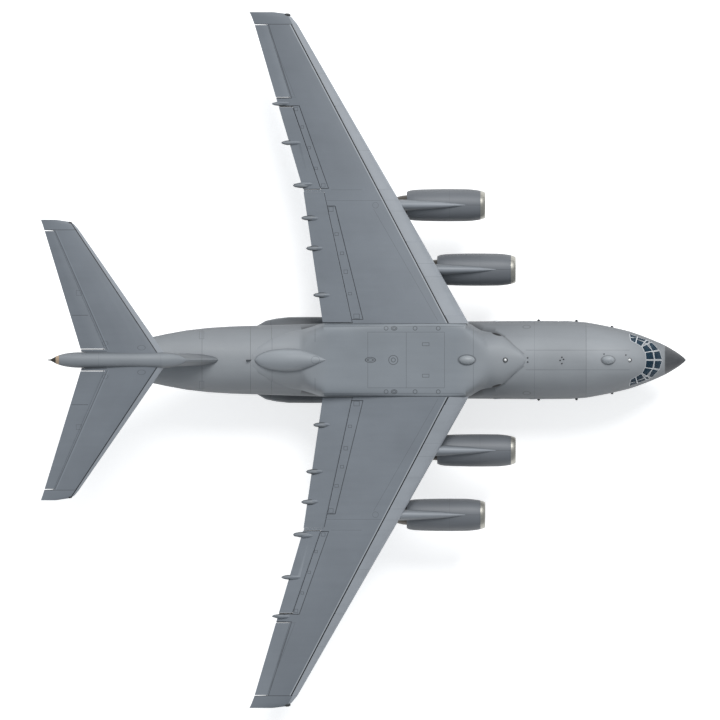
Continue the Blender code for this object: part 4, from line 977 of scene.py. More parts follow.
def oval_rings(table, centre_z, points, steps, centre_y=0.0):
    """Oval rings along x from a table of x, radius across and radius up."""
    first, last = table[0][0], table[-1][0]
    rings = []
    for i in range(steps + 1):
        x = first + (last - first) * i / steps
        across, up = between_rows(table, x)
        rings.append([
            Vector((x, centre_y + across * math.cos(2 * math.pi * k / points),
                    centre_z + up * math.sin(2 * math.pi * k / points))) * HALF
            for k in range(points)
        ])
    return rings


print("wing top at the root", round(panel_heights(WING, WING_CAMBER, 2.0, 3.0)[2] * HALF, 3))

# %% [markdown]
# Dark strips close the slits round the moving surfaces, which would otherwise show the floor through the
# wing; their dark colour is painted shade in the slits. Each strip is thin and rides on the surface it is
# fixed to. The gaps at the rudder's ends get thin upright plates of the same dark finish in the middle of
# the fin.

# %% Dark gap strips, painted shade in the slits
# Dark rubber: real on the brake lines, painted shade on the gap strips and plates.
rubber_and_gap_shade = Finish("dark_rubber_and_gap_shade", 0.8)
rubber_and_gap_shade.set("Base Color", rubber_and_gap_shade.blend(rubber_and_gap_shade.noise(30.0), tint(26, 27, 28), tint(44, 45, 46)))


def strip(name, start, end, width, table, camber, side, drop=0.006, thickness=0.012):
    """Strip along a line in plan, a little below the upper skin."""
    (x0, y0), (x1, y1) = start, end
    across = Vector((-(y1 - y0), x1 - x0)).normalized() * width / 2.0
    outline = []
    for x, y, sign in ((x0, y0, 1), (x1, y1, 1), (x1, y1, -1), (x0, y0, -1)):
        height = panel_heights(table, camber, x, y)[2] * HALF - drop - thickness
        outline.append(Vector(((x + sign * across.x) * HALF, side * (y + sign * across.y) * HALF, height)))
    return plate(name, outline, (0.0, 0.0, thickness))


def rib(name, table, camber, side, held, free, lean, front, shares):
    """Upright plate in the end gap of a moving surface: its fixed span, its free span and how
    far that leans outboard towards the trailing edge."""
    rings = []
    for span, bend in ((held, 0.0), (free, lean)):
        trail = panel_heights(table, camber, 0.0, span)[0]
        rows = ([], [])
        for i in range(5):
            x = front + (trail + 0.04 - front) * i / 4.0
            low, high = panel_heights(table, camber, x, span)[1:]
            for row, share in zip(rows, shares):
                row.append(Vector((x, side * (span + bend * i / 4.0), low + (high - low) * share)) * HALF)
        rings.append(rows[1] + rows[0][::-1])
    return loft(name, rings)


FLAP_CUTS = (("flap_inner", 2.66, 12.26, -0.84, -2.92), ("flap_outer", 12.34, 18.42, -3.12, -5.21))
BRACKET = (WING, WING_CAMBER, 12.183, 12.355, 0.0, -2.84, (0.36, 0.95))
RIBS = (
    (WING, WING_CAMBER, 18.45, 18.359, 0.0, -5.12, (0.36, 0.95)),
    (WING, WING_CAMBER, 18.99, 19.048, 0.0, -5.33, (0.66, 0.95)),
    (WING, WING_CAMBER, 24.39, 24.334, 0.026, -7.02, (0.66, 0.95)),
    (TAIL, 0.0, 0.72, 0.778, 0.0, -18.66, (0.66, 0.95)),
    (TAIL, 0.0, 9.41, 9.352, 0.030, -22.42, (0.66, 0.95)),
)
for side_word, side in SIDES:
    bracket = rib("flap_bracket_" + side_word, BRACKET[0], BRACKET[1], side, *BRACKET[2:])
    wear(bracket, plain_wing, "airframe")
    # Dark plates in the end gaps of the flaps and the tail: painted shade in the gaps.
    lip = rib("flap_lip_" + side_word, WING, WING_CAMBER, side, 12.43, 12.364, 0.0, -3.175, (0.06, 0.30))
    wear(lip, rubber_and_gap_shade, "flap_outer_" + side_word)
    fixed = [rib("rib", table, camber, side, *rest) for table, camber, *rest in RIBS]
    for flap, first, last, x0, x1 in FLAP_CUTS:
        slope = (x1 - x0) / (last - first)
        ends = [(x0 + slope * (span - first), span) for span in (first + 0.1, last - 0.1)]
        line = [(x - 0.031, span) for x, span in ends]
        # Dark strip under the flap's slit: painted shade in the gap.
        gap_shade = strip(f"seal_{flap}_{side_word}", *line, 0.038, WING, WING_CAMBER, side, 0.028)
        wear(gap_shade, rubber_and_gap_shade, f"{flap}_{side_word}")
        (x, span), far_end = [(x + 0.002, span) for x, span in ends]
        line = ((x - 0.07 * slope, span - 0.07), far_end)
        fixed.append(strip("spar_gap_shade", *line, 0.036, WING, WING_CAMBER, side, 0.075))
    wear(together("wing_gap_shades_" + side_word, fixed), rubber_and_gap_shade, "airframe")
RUDDER_GAP_SHADES = (
    (7.285, 7.348, -16.84, -17.05), (7.285, 7.348, -17.19, -19.31),
    (13.252, 13.315, -19.22, -19.36), (13.252, 13.315, -19.50, -20.82),
)
# Dark upright plates in the rudder's end gaps: painted shade.
fin_gap_shades = []
for bottom, top, front, rear in RUDDER_GAP_SHADES:
    corners = ((front, bottom), (rear, bottom), (rear, top), (front, top))
    outline = [Vector((x, -0.015, z)) * HALF for x, z in corners]
    fin_gap_shades.append(plate("fin_gap_shade", outline, (0.0, 0.03 * HALF, 0.0)))
wear(together("fin_gap_shades", fin_gap_shades), rubber_and_gap_shade, "airframe")

# %% [markdown]
# The flaps run on tracks inside slim pods. Above the trailing edge each pod shows as a spindle,
# pointed at both ends. It belongs to the flap where it stands on one, so that it moves with it.

# %% Flap track pods
POD_CAPS = (
    ("airframe", 18.58, -6.69, -5.39, 0.15), ("flap_outer", 15.76, -6.02, -5.00, 0.17),
    ("flap_outer", 12.66, -5.17, -3.80, 0.19), ("flap_inner", 10.30, -4.57, -3.20, 0.19),
    ("flap_inner", 8.10, -4.22, -2.95, 0.19), ("flap_inner", 4.71, -3.70, -2.28, 0.19),
)
# Pod grey with strong painted shade on the sides of each spindle.
pod_paint = grey_paint("pod_paint", tint(128, 133, 138), None,
                       lambda p: ((painted_side_shade(p, 0.95, 0.92, 0.45), tint(40, 43, 46)),))
for side_word, side in SIDES:
    for body, span, back, front, width in POD_CAPS:
        middle = (back + front) / 2.0
        trail, low, high = panel_heights(WING, WING_CAMBER, max(middle, -8.0), span)
        centre_z = (low + high) / 2.0 if middle < trail + 0.3 else high - 0.06
        table = ((back, 0.02, 0.02), (back + 0.12, width * 0.6, width * 0.6), (middle, width, width),
                 (front - 0.16, width * 0.62, width * 0.55), (front, 0.02, 0.02))
        cap = loft(f"pod_{span:.0f}_{side_word}", oval_rings(table, centre_z, 24, 20, side * span), 50.0)
        rides = body if body == "airframe" else f"{body}_{side_word}"
        wear(cap, pod_paint, rides)

# %% [markdown]
# The saddle over the wing is painted with the wing's grey. Its own marks are the joints of the centre
# panels, round covers along its edges, the dark line where it meets the wing, a painted shadow round its
# dome, and painted shade on its sides and in its two intake mouths.

# %% Saddle over the wing
SADDLE_LINES = (
    ((0.25, 0.0), (0.25, 2.02)), ((3.04, 0.0), (3.04, 2.02)), ((5.81, 0.0), (5.81, 2.02)),
    ((0.25, 2.02), (5.81, 2.02)), ((-3.57, 1.3), (-3.57, 2.3)), ((-6.69, 0.0), (-6.69, 1.8)),
    ((7.9, 0.0), (7.9, 2.3)), ((-3.1, 2.42), (7.2, 2.42)),
)
SADDLE_COVERS = (
    ((2.10, 0.0), (0.33, 0.33)), ((2.10, 0.0), (0.15, 0.15)), ((0.44, 0.0), (0.36, 0.19)),
    ((0.44, 0.0), (0.20, 0.09)), ((2.16, 2.30), (0.20, 0.15)), ((2.16, 2.30), (0.10, 0.08)),
    ((1.58, 2.30), (0.14, 0.14)), ((3.68, 2.30), (0.14, 0.14)), ((5.36, 2.30), (0.14, 0.14)),
)


def saddle_seams(paint):
    """Joints, covers, small rectangular doors and a painted contact shadow round the dome."""
    fine = [segment(paint, a, b, 0.011) * 0.75 for a, b in SADDLE_LINES]
    fine += [ring(paint, place, radii, 0.020) for place, radii in SADDLE_COVERS]
    fine.append(hatch(paint, (4.45, 1.14), (0.24, 0.11), 0.014))
    # Painted contact shadow round the dome.
    fine.append(ring(paint, (7.43, 0.0), (0.62, 0.37), 0.030) * 0.7)
    edge = paint.side.near(2.655 * HALF, 0.022) * paint.x.within(-1.5, 3.75)
    return strongest(fine).most(edge) * topside(paint)


def saddle_marks(paint):
    """Painted shade in the mouths of the two air intakes, painted shade on the sides, and the paler grey of
    the fuselage at the front and rear.
    """
    dx = (paint.x - 4.80) / 0.20
    dy = (paint.side - 0.95 + (paint.x - 4.80) * 0.28) / 0.062
    intake_shade = 1.0 - (dx * dx + dy * dy).maths("SQRT").above(0.9, 0.2)
    intake_shade = intake_shade * paint.z.above(2.6)
    ends = paint.x.above(4.1, 1.6).most(1.0 - paint.x.above(-1.9, 1.3))
    return ((ends * 0.9, BODY_BASE), (painted_side_shade(paint, 0.5, 0.9, 0.4), tint(84, 88, 92)),
            (intake_shade, tint(14, 15, 16)))


saddle_paint = grey_paint("saddle_paint", tint(130, 136, 142), saddle_seams, saddle_marks)

# %% [markdown]
# The saddle is one smooth hump. Each of its rings has a nearly flat top over the wing and a round
# one ahead of and behind it, and its edge runs down to the fuselage's or the wing's own skin.

# %% Saddle form
FAIRING = (
    (11.66, 0.16, 6.86), (11.58, 0.38, 6.90), (11.29, 0.64, 6.96), (10.74, 1.13, 7.05),
    (10.20, 1.60, 7.11), (9.90, 1.82, 7.14), (9.50, 1.98, 7.19), (9.10, 2.02, 7.24),
    (8.57, 2.12, 7.30), (8.03, 2.40, 7.36), (7.70, 2.62, 7.40), (7.58, 2.66, 7.42),
    (2.30, 2.66, 7.52), (-3.01, 2.66, 7.34), (-3.84, 2.40, 7.20), (-4.57, 2.20, 7.06),
    (-5.50, 2.00, 6.94), (-6.60, 1.60, 6.88), (-7.60, 1.00, 6.86), (-8.10, 0.50, 6.85),
)
WING_ROOT = (7.50, -3.01)


def body_top(x, y):
    """Height of the fuselage's skin at a place, at full size."""
    width, belly, crown = between_rows(BODY, x)
    share = max(0.0, 1.0 - (y / width) ** 2)
    return (belly + crown) / 2.0 + (crown - belly) / 2.0 * math.sqrt(share)


def saddle_ring(x):
    """Ring of the hump at x: 33 points over the top and two below."""
    width, top = between_rows(sorted(FAIRING), x)
    over_wing = WING_ROOT[1] < x < WING_ROOT[0]
    if over_wing:
        edge, low = panel_heights(WING, WING_CAMBER, x, 2.66)[2] - 0.03, 5.92
    else:
        edge = body_top(x, width) - 0.03
        low = edge - 0.4
    flat = min(max(min(8.9 - x, x + 4.6) / 1.6, 0.0), 1.0)
    power, root = 2.4 + flat * 9.6, 0.8 - flat * 0.3
    points = []
    for k in range(33):
        share = math.sin(math.pi * (k / 32.0 - 0.5))
        rise = max(0.0, 1.0 - abs(share) ** power) ** root
        points.append(Vector((x, -share * width, edge + (top - edge) * rise)) * HALF)
    return points + [Vector((x, -width, low)) * HALF, Vector((x, width, low)) * HALF]


saddle_places = [-8.10 + 19.76 * i / 96.0 for i in range(97)]
saddle = loft("saddle", [saddle_ring(x) for x in saddle_places], 40.0)
BLISTER = (
    (-7.97, 0.03, 0.02), (-7.88, 0.22, 0.14), (-7.56, 0.46, 0.30), (-6.84, 0.71, 0.52),
    (-5.75, 0.84, 0.70), (-5.00, 0.84, 0.75), (-4.40, 0.77, 0.76), (-3.94, 0.66, 0.72),
    (-3.36, 0.46, 0.64), (-3.00, 0.28, 0.57), (-2.68, 0.03, 0.48),
)
blister_rings = []
for i in range(41):
    x = -7.97 + 5.29 * i / 40.0
    across, height = between_rows(BLISTER, x)
    angles = [2 * math.pi * k / 40 for k in range(40)]
    blister_rings.append([
        Vector((x, across * math.cos(a), 6.70 + (height + 0.15) * math.sin(a))) * HALF for a in angles
    ])
blister = loft("blister", blister_rings, 40.0)
wear(saddle, saddle_paint, "airframe", ("wing_fairing",))
# Blister grey with painted shade on its sides.
blister_paint = grey_paint(
    "blister_paint", tint(144, 149, 154), lambda p: ring(p, (-3.55, 0.0), (0.30, 0.27)) * 0.7,
    lambda p: ((painted_side_shade(p, 0.7, 0.7, 0.2), tint(84, 88, 92)),)
)
wear(blister, blister_paint, "airframe")
print("saddle", len(saddle.data.polygons), "blister", len(blister.data.polygons))

# %% [markdown]
# Each engine hangs in a long cowl. The front lip is bare metal, polished by the air, and the
# rest is painted darker than the wing. One engine is turned at the origin and copied to the four
# pylons: cowl, lip, a ring of vanes, the hot nozzle and its cone.

# %% Engine finishes
ENGINES = (("inner", 10.99, 6.56, 4.80), ("outer", 8.78, 11.24, 4.58))


def cowl_seams(paint):
    """Crown line and ring joint of each cowl, kept to the cowl's own width."""
    masks = []
    for _, lip_x, y, _ in ENGINES:
        crown = segment(paint, (lip_x - 1.45, y), (lip_x - 0.36, y), 0.010)
        joint = paint.x.near((lip_x - 2.6) * HALF, 0.009) * 0.5
        own = paint.side.above((y - 1.4) * HALF)
        masks.append(crown.most(joint) * own * (1.0 - paint.side.above((y + 1.4) * HALF)))
    return strongest(masks) * 0.8


# Cowl grey with painted shade on its sides and underside.
cowl_paint = grey_paint("cowl_paint", NACELLE_BASE, cowl_seams,
                        lambda p: ((painted_side_shade(p, 0.62), tint(62, 65, 68)),), roughness=0.5)
lip_metal = Finish("polished_lip", 0.3, 0.85)
wiped = lip_metal.noise(6.0, (1.0, 4.0, 4.0), 4.0)
lip_metal.set("Base Color", lip_metal.blend(wiped, tint(150, 148, 140), tint(186, 184, 176)))
lip_metal.set("Roughness", wiped * 0.2 + 0.30)
hot_metal = Finish("hot_nozzle_metal", 0.42, 0.9)
heat = hot_metal.noise(4.0, (0.4, 1.0, 1.0), 4.0)
hot_metal.set("Base Color", hot_metal.blend(heat, tint(66, 64, 62), tint(108, 104, 98)))
hot_metal.set("Roughness", heat * 0.3 + 0.3)
fan_metal = Finish("fan_blade_metal", 0.28, 1.0)
shade = fan_metal.noise(12.0, (1.0, 1.0, 1.0), 2.0)
fan_metal.set("Base Color", fan_metal.blend(shade, tint(92, 94, 98), tint(140, 142, 146)))
spinner_paint = grey_paint("spinner_paint", tint(60, 62, 65), roughness=0.4, streak=0.1)

# %% Turn one engine
COWL = (
    (0.35, 1.050), (0.60, 1.098), (0.95, 1.142), (1.30, 1.168), (2.4, 1.180), (3.40, 1.175),
    (4.4, 1.155), (5.1, 1.125), (5.45, 1.075), (5.62, 1.015), (5.70, 0.955), (5.68, 0.94),
    (5.30, 0.95), (3.4, 0.985), (1.05, 0.94), (0.60, 0.875), (0.38, 0.85), (0.35, 0.96), (0.35, 1.050),
)
LIP = (
    (0.36, 1.052), (0.26, 1.028), (0.16, 0.998), (0.08, 0.962), (0.02, 0.925), (0.0, 0.900),
    (0.015, 0.878), (0.07, 0.862), (0.18, 0.850), (0.34, 0.846), (0.36, 0.846), (0.36, 0.90),
    (0.36, 1.052),
)
CORE = ((1.75, 0.0), (1.75, 0.33), (2.30, 0.47), (2.9, 0.60), (3.60, 0.70), (4.5, 0.76), (5.40, 0.76),
        (6.00, 0.70), (6.42, 0.60), (6.42, 0.56), (5.9, 0.50), (5.7, 0.38), (5.7, 0.0))
CONE = ((5.70, 0.0), (5.70, 0.36), (6.05, 0.32), (6.4, 0.21), (6.66, 0.08), (6.76, 0.0))
SPINNER = (
    (0.72, 0.0), (0.735, 0.04), (0.79, 0.10), (0.90, 0.17), (1.10, 0.255), (1.34, 0.305),
    (1.62, 0.315), (1.62, 0.0),
)


def engine_turn(name, profile, sides, degrees=30.0):
    """Spin an engine profile, given as (behind the lip, radius) at full size."""
    points = [(-back * HALF, radius * HALF) for back, radius in profile]
    return lathe(name, points, (0.0, 0.0, 0.0), "X", sides, degrees)


def blade(name, rows, thickness):
    """Twisted blade: one flat outline per row of (x, radius, half chord, lean)."""
    rings = []
    for x, radius, chord, lean in rows:
        section = []
        for k in range(10):
            angle = 2.0 * math.pi * k / 10
            a, b = chord * math.cos(angle), thickness * math.sin(angle)
            along = a * math.cos(lean) - b * math.sin(lean)
            across = a * math.sin(lean) + b * math.cos(lean)
            section.append(Vector((x + along, across, radius)) * HALF)
        rings.append(section)
    return loft(name, rings, 50.0)


def round_axis(obj, count):
    """Repeat a piece round the X axis with the spin operator's copies."""
    take(obj)
    bpy.ops.object.mode_set(mode="EDIT")
    bpy.ops.mesh.select_all(action="SELECT")
    bpy.ops.mesh.spin(
        steps=count, dupli=True, angle=2.0 * math.pi, center=(0.0, 0.0, 0.0), axis=(1.0, 0.0, 0.0)
    )
    bpy.ops.mesh.select_all(action="SELECT")
    bpy.ops.mesh.remove_doubles(threshold=0.00002)
    bpy.ops.object.mode_set(mode="OBJECT")
    return obj


FAN_BLADES = 24
cowl = engine_turn("cowl", COWL, 72)
lip = engine_turn("lip", LIP, 72)
core = engine_turn("core", CORE, 48)
cone = engine_turn("cone", CONE, 40)
vanes = round_axis(blade("vanes", ((-2.75, 0.50, 0.24, 0.12), (-2.75, 0.98, 0.24, 0.12)), 0.012), 16)
spinner = engine_turn("spinner", SPINNER, 48)
blades = round_axis(blade("blades", (
    (-1.45, 0.27, 0.13, 0.55), (-1.45, 0.48, 0.15, 0.75), (-1.45, 0.70, 0.165, 0.93),
    (-1.45, 0.90, 0.17, 1.05),
), 0.011), FAN_BLADES)
print("cowl", len(cowl.data.polygons), "blades", len(blades.data.polygons))

# %% [markdown]
# A pylon is a long spindle seen from above: it rises out of the cowl as a point, is widest at the
# wing's leading edge and runs on under the wing. Its top is rounded.

# %% Pylons and the four engines
# Pylon grey with painted shade on its sides.
pylon_paint = grey_paint("pylon_paint", tint(140, 145, 151), None,
                         lambda p: ((painted_side_shade(p, 0.6, 0.9, 0.3), tint(70, 74, 78)),), roughness=0.5)


def pylon_rings(lip_x, y, axis_z, side):
    """Rings of a pylon from its front point to its end under the wing."""
    low_row, high_row = WING[0], WING[1]
    share = (y - low_row[0]) / (high_row[0] - low_row[0])
    lead = low_row[1] + (high_row[1] - low_row[1]) * share
    lead_z = sum(panel_heights(WING, WING_CAMBER, lead, y)[1:]) / 2.0
    top, low = axis_z + 1.17, axis_z + 0.80
    rows = (
        (lip_x - 1.30, 0.01, low, top - 0.03), (lip_x - 2.10, 0.13, low, top + 0.13),
        (lip_x - 3.20, 0.26, low, top + 0.32), (lead + 0.50, 0.39, low, lead_z + 0.02),
        (lead - 0.10, 0.40, low, lead_z + 0.02), (lead - 1.60, 0.36, low + 0.10, lead_z + 0.05),
        (lead - 3.60, 0.05, panel_heights(WING, WING_CAMBER, lead - 3.60, y)[1] - 0.05, lead_z),
    )
    rings = []
    for x, width, z0, z1 in rows:
        tall = min(1.6 * width, 0.8 * (z1 - z0))
        arch = [(width * math.cos(a * math.pi / 14), z1 - tall + tall * math.sin(a * math.pi / 14))
                for a in range(15)]
        outline = [(width, z0)] + arch + [(-width, z0)]
        rings.append([Vector((x, side * y + across, z)) * HALF for across, z in outline])
    return rings


hot = together("hot", [core, cone])
for side_word, side in SIDES:
    for place_word, lip_x, y, z in ENGINES:
        spot = Vector((lip_x, side * y, z)) * HALF
        tail_words = f"{place_word}_{side_word}"
        wear(twin_of(cowl, "cowl_" + tail_words, spot), cowl_paint, "airframe",
             ("nacelle_" + tail_words,))
        wear(twin_of(lip, "lip_" + tail_words, spot), lip_metal, "airframe")
        wear(twin_of(hot, "nozzle_" + tail_words, spot), hot_metal, "airframe")
        wear(twin_of(vanes, "vanes_" + tail_words, spot), fan_metal, "airframe")
        wear(twin_of(blades, "fan_blades_" + tail_words, spot), fan_metal, "fan_" + tail_words,
             ("fan_" + tail_words,))
        wear(twin_of(spinner, "spinner_" + tail_words, spot), spinner_paint, "fan_" + tail_words)
        pylon = loft("pylon_form_" + tail_words, pylon_rings(lip_x, y, z, side), 35.0)
        wear(pylon, pylon_paint, "airframe", ("pylon_" + tail_words,))
for pattern in (cowl, lip, hot, vanes, blades, spinner):
    bpy.data.objects.remove(pattern, do_unlink=True)
print("engines hung")

# %% [markdown]
# The tail wears the same grey. The tailplane has a dark line behind its leading edge, a painted highlight
# along the hinge line and small covers, and the bullet ends in a tan ring and a dark point.

# %% Tail paint and skins
TAIL_EDGES = (
    ((-14.99, 0.55), (-20.81, 9.36)), ((-20.76, 9.40), (-23.10, 9.40)), ((-19.95, 3.23), (-21.15, 3.23)),
    ((-18.57, 0.75), (-22.38, 9.38)), ((-18.6, 0.62), (-20.5, 0.62)),
)


def tail_seams(paint):
    """Leading edge line, hinge line, tip joint and covers."""
    edges = [segment(paint, a, b, 0.015) for a, b in TAIL_EDGES]
    covers = [ring(paint, (-18.72, 1.20), (0.20, 0.16)), ring(paint, (-16.10, 0.89), (0.28, 0.17)),
              hatch(paint, (-20.63, 4.85), (0.18, 0.18))]
    return strongest(edges).most(strongest(covers) * 0.7) * topside(paint)


def hinge_painted_highlight(paint):
    """Painted highlight along the edge just ahead of the elevator."""
    return segment(paint, (-18.47, 0.75), (-22.28, 9.38), 0.020) * topside(paint)


def tail_marks(paint):
    """Paler leading edge strip and the dark line behind it."""
    away, top = ahead_of(paint, *TAIL_EDGES[0]), topside(paint)
    return ((away.above(0.02, 0.01) * 0.8, tint(150, 155, 161)),
            (away.within(-0.020, 0.012, 0.008) * paint.side.above(0.27) * top, tint(26, 28, 30)))


tail_paint = grey_paint("tailplane_paint", tint(115, 121, 128), tail_seams, tail_marks, painted_highlight=hinge_painted_highlight)
for side_word, side in SIDES:
    skin("tailplane_" + side_word, tail_paint)
    skin("elevator_" + side_word, tail_paint)

BULLET_Z = 14.36
BULLET = (
    (-22.87, 0.03, 0.03), (-22.58, 0.07, 0.07), (-22.44, 0.18, 0.18), (-22.28, 0.27, 0.27),
    (-22.04, 0.36, 0.36), (-21.70, 0.45, 0.45), (-21.20, 0.53, 0.53), (-20.60, 0.565, 0.57),
    (-17.20, 0.57, 0.58), (-15.30, 0.57, 0.57), (-14.20, 0.54, 0.49), (-13.60, 0.45, 0.38),
    (-13.15, 0.30, 0.25), (-12.92, 0.15, 0.12), (-12.82, 0.03, 0.03),
)


def bullet_marks(paint):
    """Painted shade on the flanks, the tan ring and the dark point at the rear."""
    return ((painted_side_shade(paint, 0.85, 0.8, 0.2), tint(60, 63, 66)),
            (paint.x.within(-11.15, -11.03), tint(172, 150, 126)),
            (1.0 - paint.x.above(-11.15), tint(50, 49, 44)))


bullet_paint = grey_paint("bullet_paint", tint(132, 137, 142),
                          lambda p: lines_of(p.x, (-7.35, -9.6, -11.02), 0.009) * 0.4, bullet_marks)
bullet = loft("bullet_skin", oval_rings(BULLET, BULLET_Z, 48, 50), 40.0)
wear(bullet, bullet_paint, "airframe", ("tail_bullet",))
print("bullet", len(bullet.data.polygons))

# %% [markdown]
# Tyres are turned with round shoulders and four grooves, and the rims are dished with a ring of
# bolts. One wheel is made for each gear and copied to both sides of every axle.

# %% Wheels
tyre_rubber = Finish("tyre_rubber", 0.85)
dust = tyre_rubber.noise(14.0, (1.0, 1.0, 1.0), 4.0)
tyre_rubber.set("Base Color", tyre_rubber.blend(dust, tint(22, 22, 23), tint(52, 51, 50)))
tyre_rubber.set("Roughness", dust * 0.15 + 0.75)
tyre_rubber.bump(tyre_rubber.noise(90.0), 0.001)
rim_paint = grey_paint("rim_paint", tint(176, 178, 178), roughness=0.4, streak=0.1)
steel = Finish("gear_steel", 0.35, 0.75)
oil = steel.noise(8.0, (1.0, 1.0, 1.0), 4.0)
steel.set("Base Color", steel.blend(oil, tint(92, 96, 98), tint(150, 154, 156)))
steel.set("Roughness", oil * 0.3 + 0.3)
chrome = Finish("oleo_chrome", 0.12, 1.0)
chrome.set("Base Color", chrome.blend(chrome.noise(20.0), tint(190, 192, 195), tint(222, 224, 226)))


BOLT = ((0.36, 0.0), (0.36, 0.011), (0.48, 0.011), (0.50, 0.008), (0.50, 0.0))
MAIN_AXLES = (("front", 1.40), ("middle", -0.70), ("rear", -2.80))
MAIN_TRACK = 2.30


def wheel(name, radius, width, hub):
    """Tyre and rim of one wheel about the Y axis through the origin."""
    w = width / 2.0
    tread = [(w * 0.86, radius * 0.955), (w * 0.62, radius * 0.992)]
    for groove in (0.42, 0.14, -0.14, -0.42):
        tread += [((groove + 0.05) * w, radius), ((groove + 0.03) * w, radius - 0.008),
                  ((groove - 0.03) * w, radius - 0.008), ((groove - 0.05) * w, radius)]
    tread += [(-w * 0.62, radius * 0.992), (-w * 0.86, radius * 0.955)]
    side_wall = [(-w, radius * 0.85), (-w * 0.98, radius * 0.72), (-w * 0.80, radius * 0.60)]
    back = [(-a, r) for a, r in reversed(side_wall)]
    profile = tread + side_wall + back + tread[:1]
    tyre = lathe(name + "_tyre", profile, (0.0, 0.0, 0.0), "Y", 40, 40.0)
    rim_profile = [(w * 0.84, radius * 0.62), (w * 0.84, radius * 0.56), (w * 0.45, radius * 0.52),
                   (w * 0.35, radius * 0.34), (w * 0.60, radius * 0.26), (w * 0.62, hub), (-w * 0.62, hub),
                   (-w * 0.60, radius * 0.26), (-w * 0.35, radius * 0.34), (-w * 0.45, radius * 0.52),
                   (-w * 0.84, radius * 0.56), (-w * 0.84, radius * 0.62), (w * 0.84, radius * 0.62)]
    rim = lathe(name + "_rim", rim_profile, (0.0, 0.0, 0.0), "Y", 40, 40.0)
    bolts = []
    for k in range(10):
        angle = 2.0 * math.pi * k / 10
        spot = (radius * 0.43 * math.cos(angle), 0.0, radius * 0.43 * math.sin(angle))
        for face in (1, -1):
            head = [(face * w * a, r) for a, r in BOLT]
            bolts.append(lathe("bolt", head, spot, "Y", 6, 30.0))
    return tyre, together(name + "_rim", [rim] + bolts)


def fit_wheels(node, pattern, x, y, radius, spacing, axle):
    """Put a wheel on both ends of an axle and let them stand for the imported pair."""
    tyre, rim = pattern
    tyres, rims = [], []
    for offset in (spacing / 2.0, -spacing / 2.0):
        spot = Vector((x, y + offset, radius)) * HALF
        tyres.append(twin_of(tyre, "tyre", spot))
        rims.append(twin_of(rim, "rim", spot))
    half = spacing * HALF / 2.0 + 0.02
    rod = lathe("axle", ((-half - 0.05, 0.0), (-half - 0.05, axle * 0.7), (-half, axle), (half, axle),
                         (half + 0.05, axle * 0.7), (half + 0.05, 0.0)),
                Vector((x, y, radius)) * HALF, "Y", 16)
    wear(together(node + "_tyres", tyres), tyre_rubber, node, (node,))
    wear(together(node + "_rims", rims), rim_paint, node)
    wear(rod, steel, node).name = node + "_axle"


main_pattern = wheel("main", 0.325, 0.21, 0.045)
nose_pattern = wheel("nose", 0.26, 0.14, 0.045)
for side_word, side in SIDES:
    for row, x in MAIN_AXLES:
        node = f"main_wheels_{row}_{side_word}"
        fit_wheels(node, main_pattern, x, side * MAIN_TRACK, 0.65, 0.68, 0.038)
fit_wheels("nose_wheels", nose_pattern, 17.05, 0.0, 0.52, 0.56, 0.038)
for piece in main_pattern + nose_pattern:
    bpy.data.objects.remove(piece, do_unlink=True)
print("wheels fitted")

# %% [markdown]
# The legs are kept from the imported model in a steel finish. A bright sliding tube, folding links
# and a brake line make them look like shock struts.

# %% Landing gear legs
OLEO_TUBE = ((0.44, 0.0), (0.44, 0.057), (0.58, 0.057), (0.58, 0.0))
BRAKE_HOSE = ((0.16, 0.07, 1.40), (0.21, 0.08, 1.15), (0.19, 0.08, 0.90), (0.10, 0.05, 0.72))
for node in ("main_legs_left", "main_legs_right", "nose_leg", "nose_fork"):
    skin(node, steel, 40.0)
for side_word, side in SIDES:
    y = side * MAIN_TRACK
    bright, links, hoses = [], [], []
    for _, x in MAIN_AXLES:
        bright.append(lathe("tube", OLEO_TUBE, (x * HALF, y * HALF, 0.0), "Z", 24))
        knee = (x + 0.36, y, 0.98)
        for ends in (((x + 0.10, y, 0.72), knee), (knee, (x + 0.10, y, 1.26))):
            links.append(pipe("link", [Vector(end) * HALF for end in ends], 0.017))
        hose = [Vector((x - dx, y + dy, z)) * HALF for dx, dy, z in BRAKE_HOSE]
        hoses.append(pipe("hose", hose, 0.007))
    wear(together("oleo_tubes_" + side_word, bright), chrome, "airframe")
    wear(together("scissor_links_" + side_word, links), steel, "airframe")
    wear(together("brake_lines_" + side_word, hoses), rubber_and_gap_shade, "airframe")
print("legs dressed")

# %% [markdown]
# The hold is seen when the ramp is down. Real holds show ribs round the walls, rails for loads
# along the floor and folded canvas seats. A rib is a small rectangle extruded from point to point
# along the inside of the hull.

# %% Hold
def hoop(x):
    """Rib round the hold's wall, from the floor over the crown and down again."""
    width, belly, crown = between_rows(BODY, x)
    centre, height = (belly + crown) / 2.0, (crown - belly) / 2.0
    rings = []
    for k in range(25):
        angle = math.radians(-126.0 + 252.0 * k / 24.0)
        section = []
        for along, inset in ((-0.05, 0.17), (0.05, 0.17), (0.05, 0.26), (-0.05, 0.26)):
            across, up = (width - inset) * math.sin(angle), (height - inset) * math.cos(angle)
            section.append(Vector((x + along, across, centre + up)) * HALF)
        rings.append(section)
    return loft("hoop", rings, 30.0)


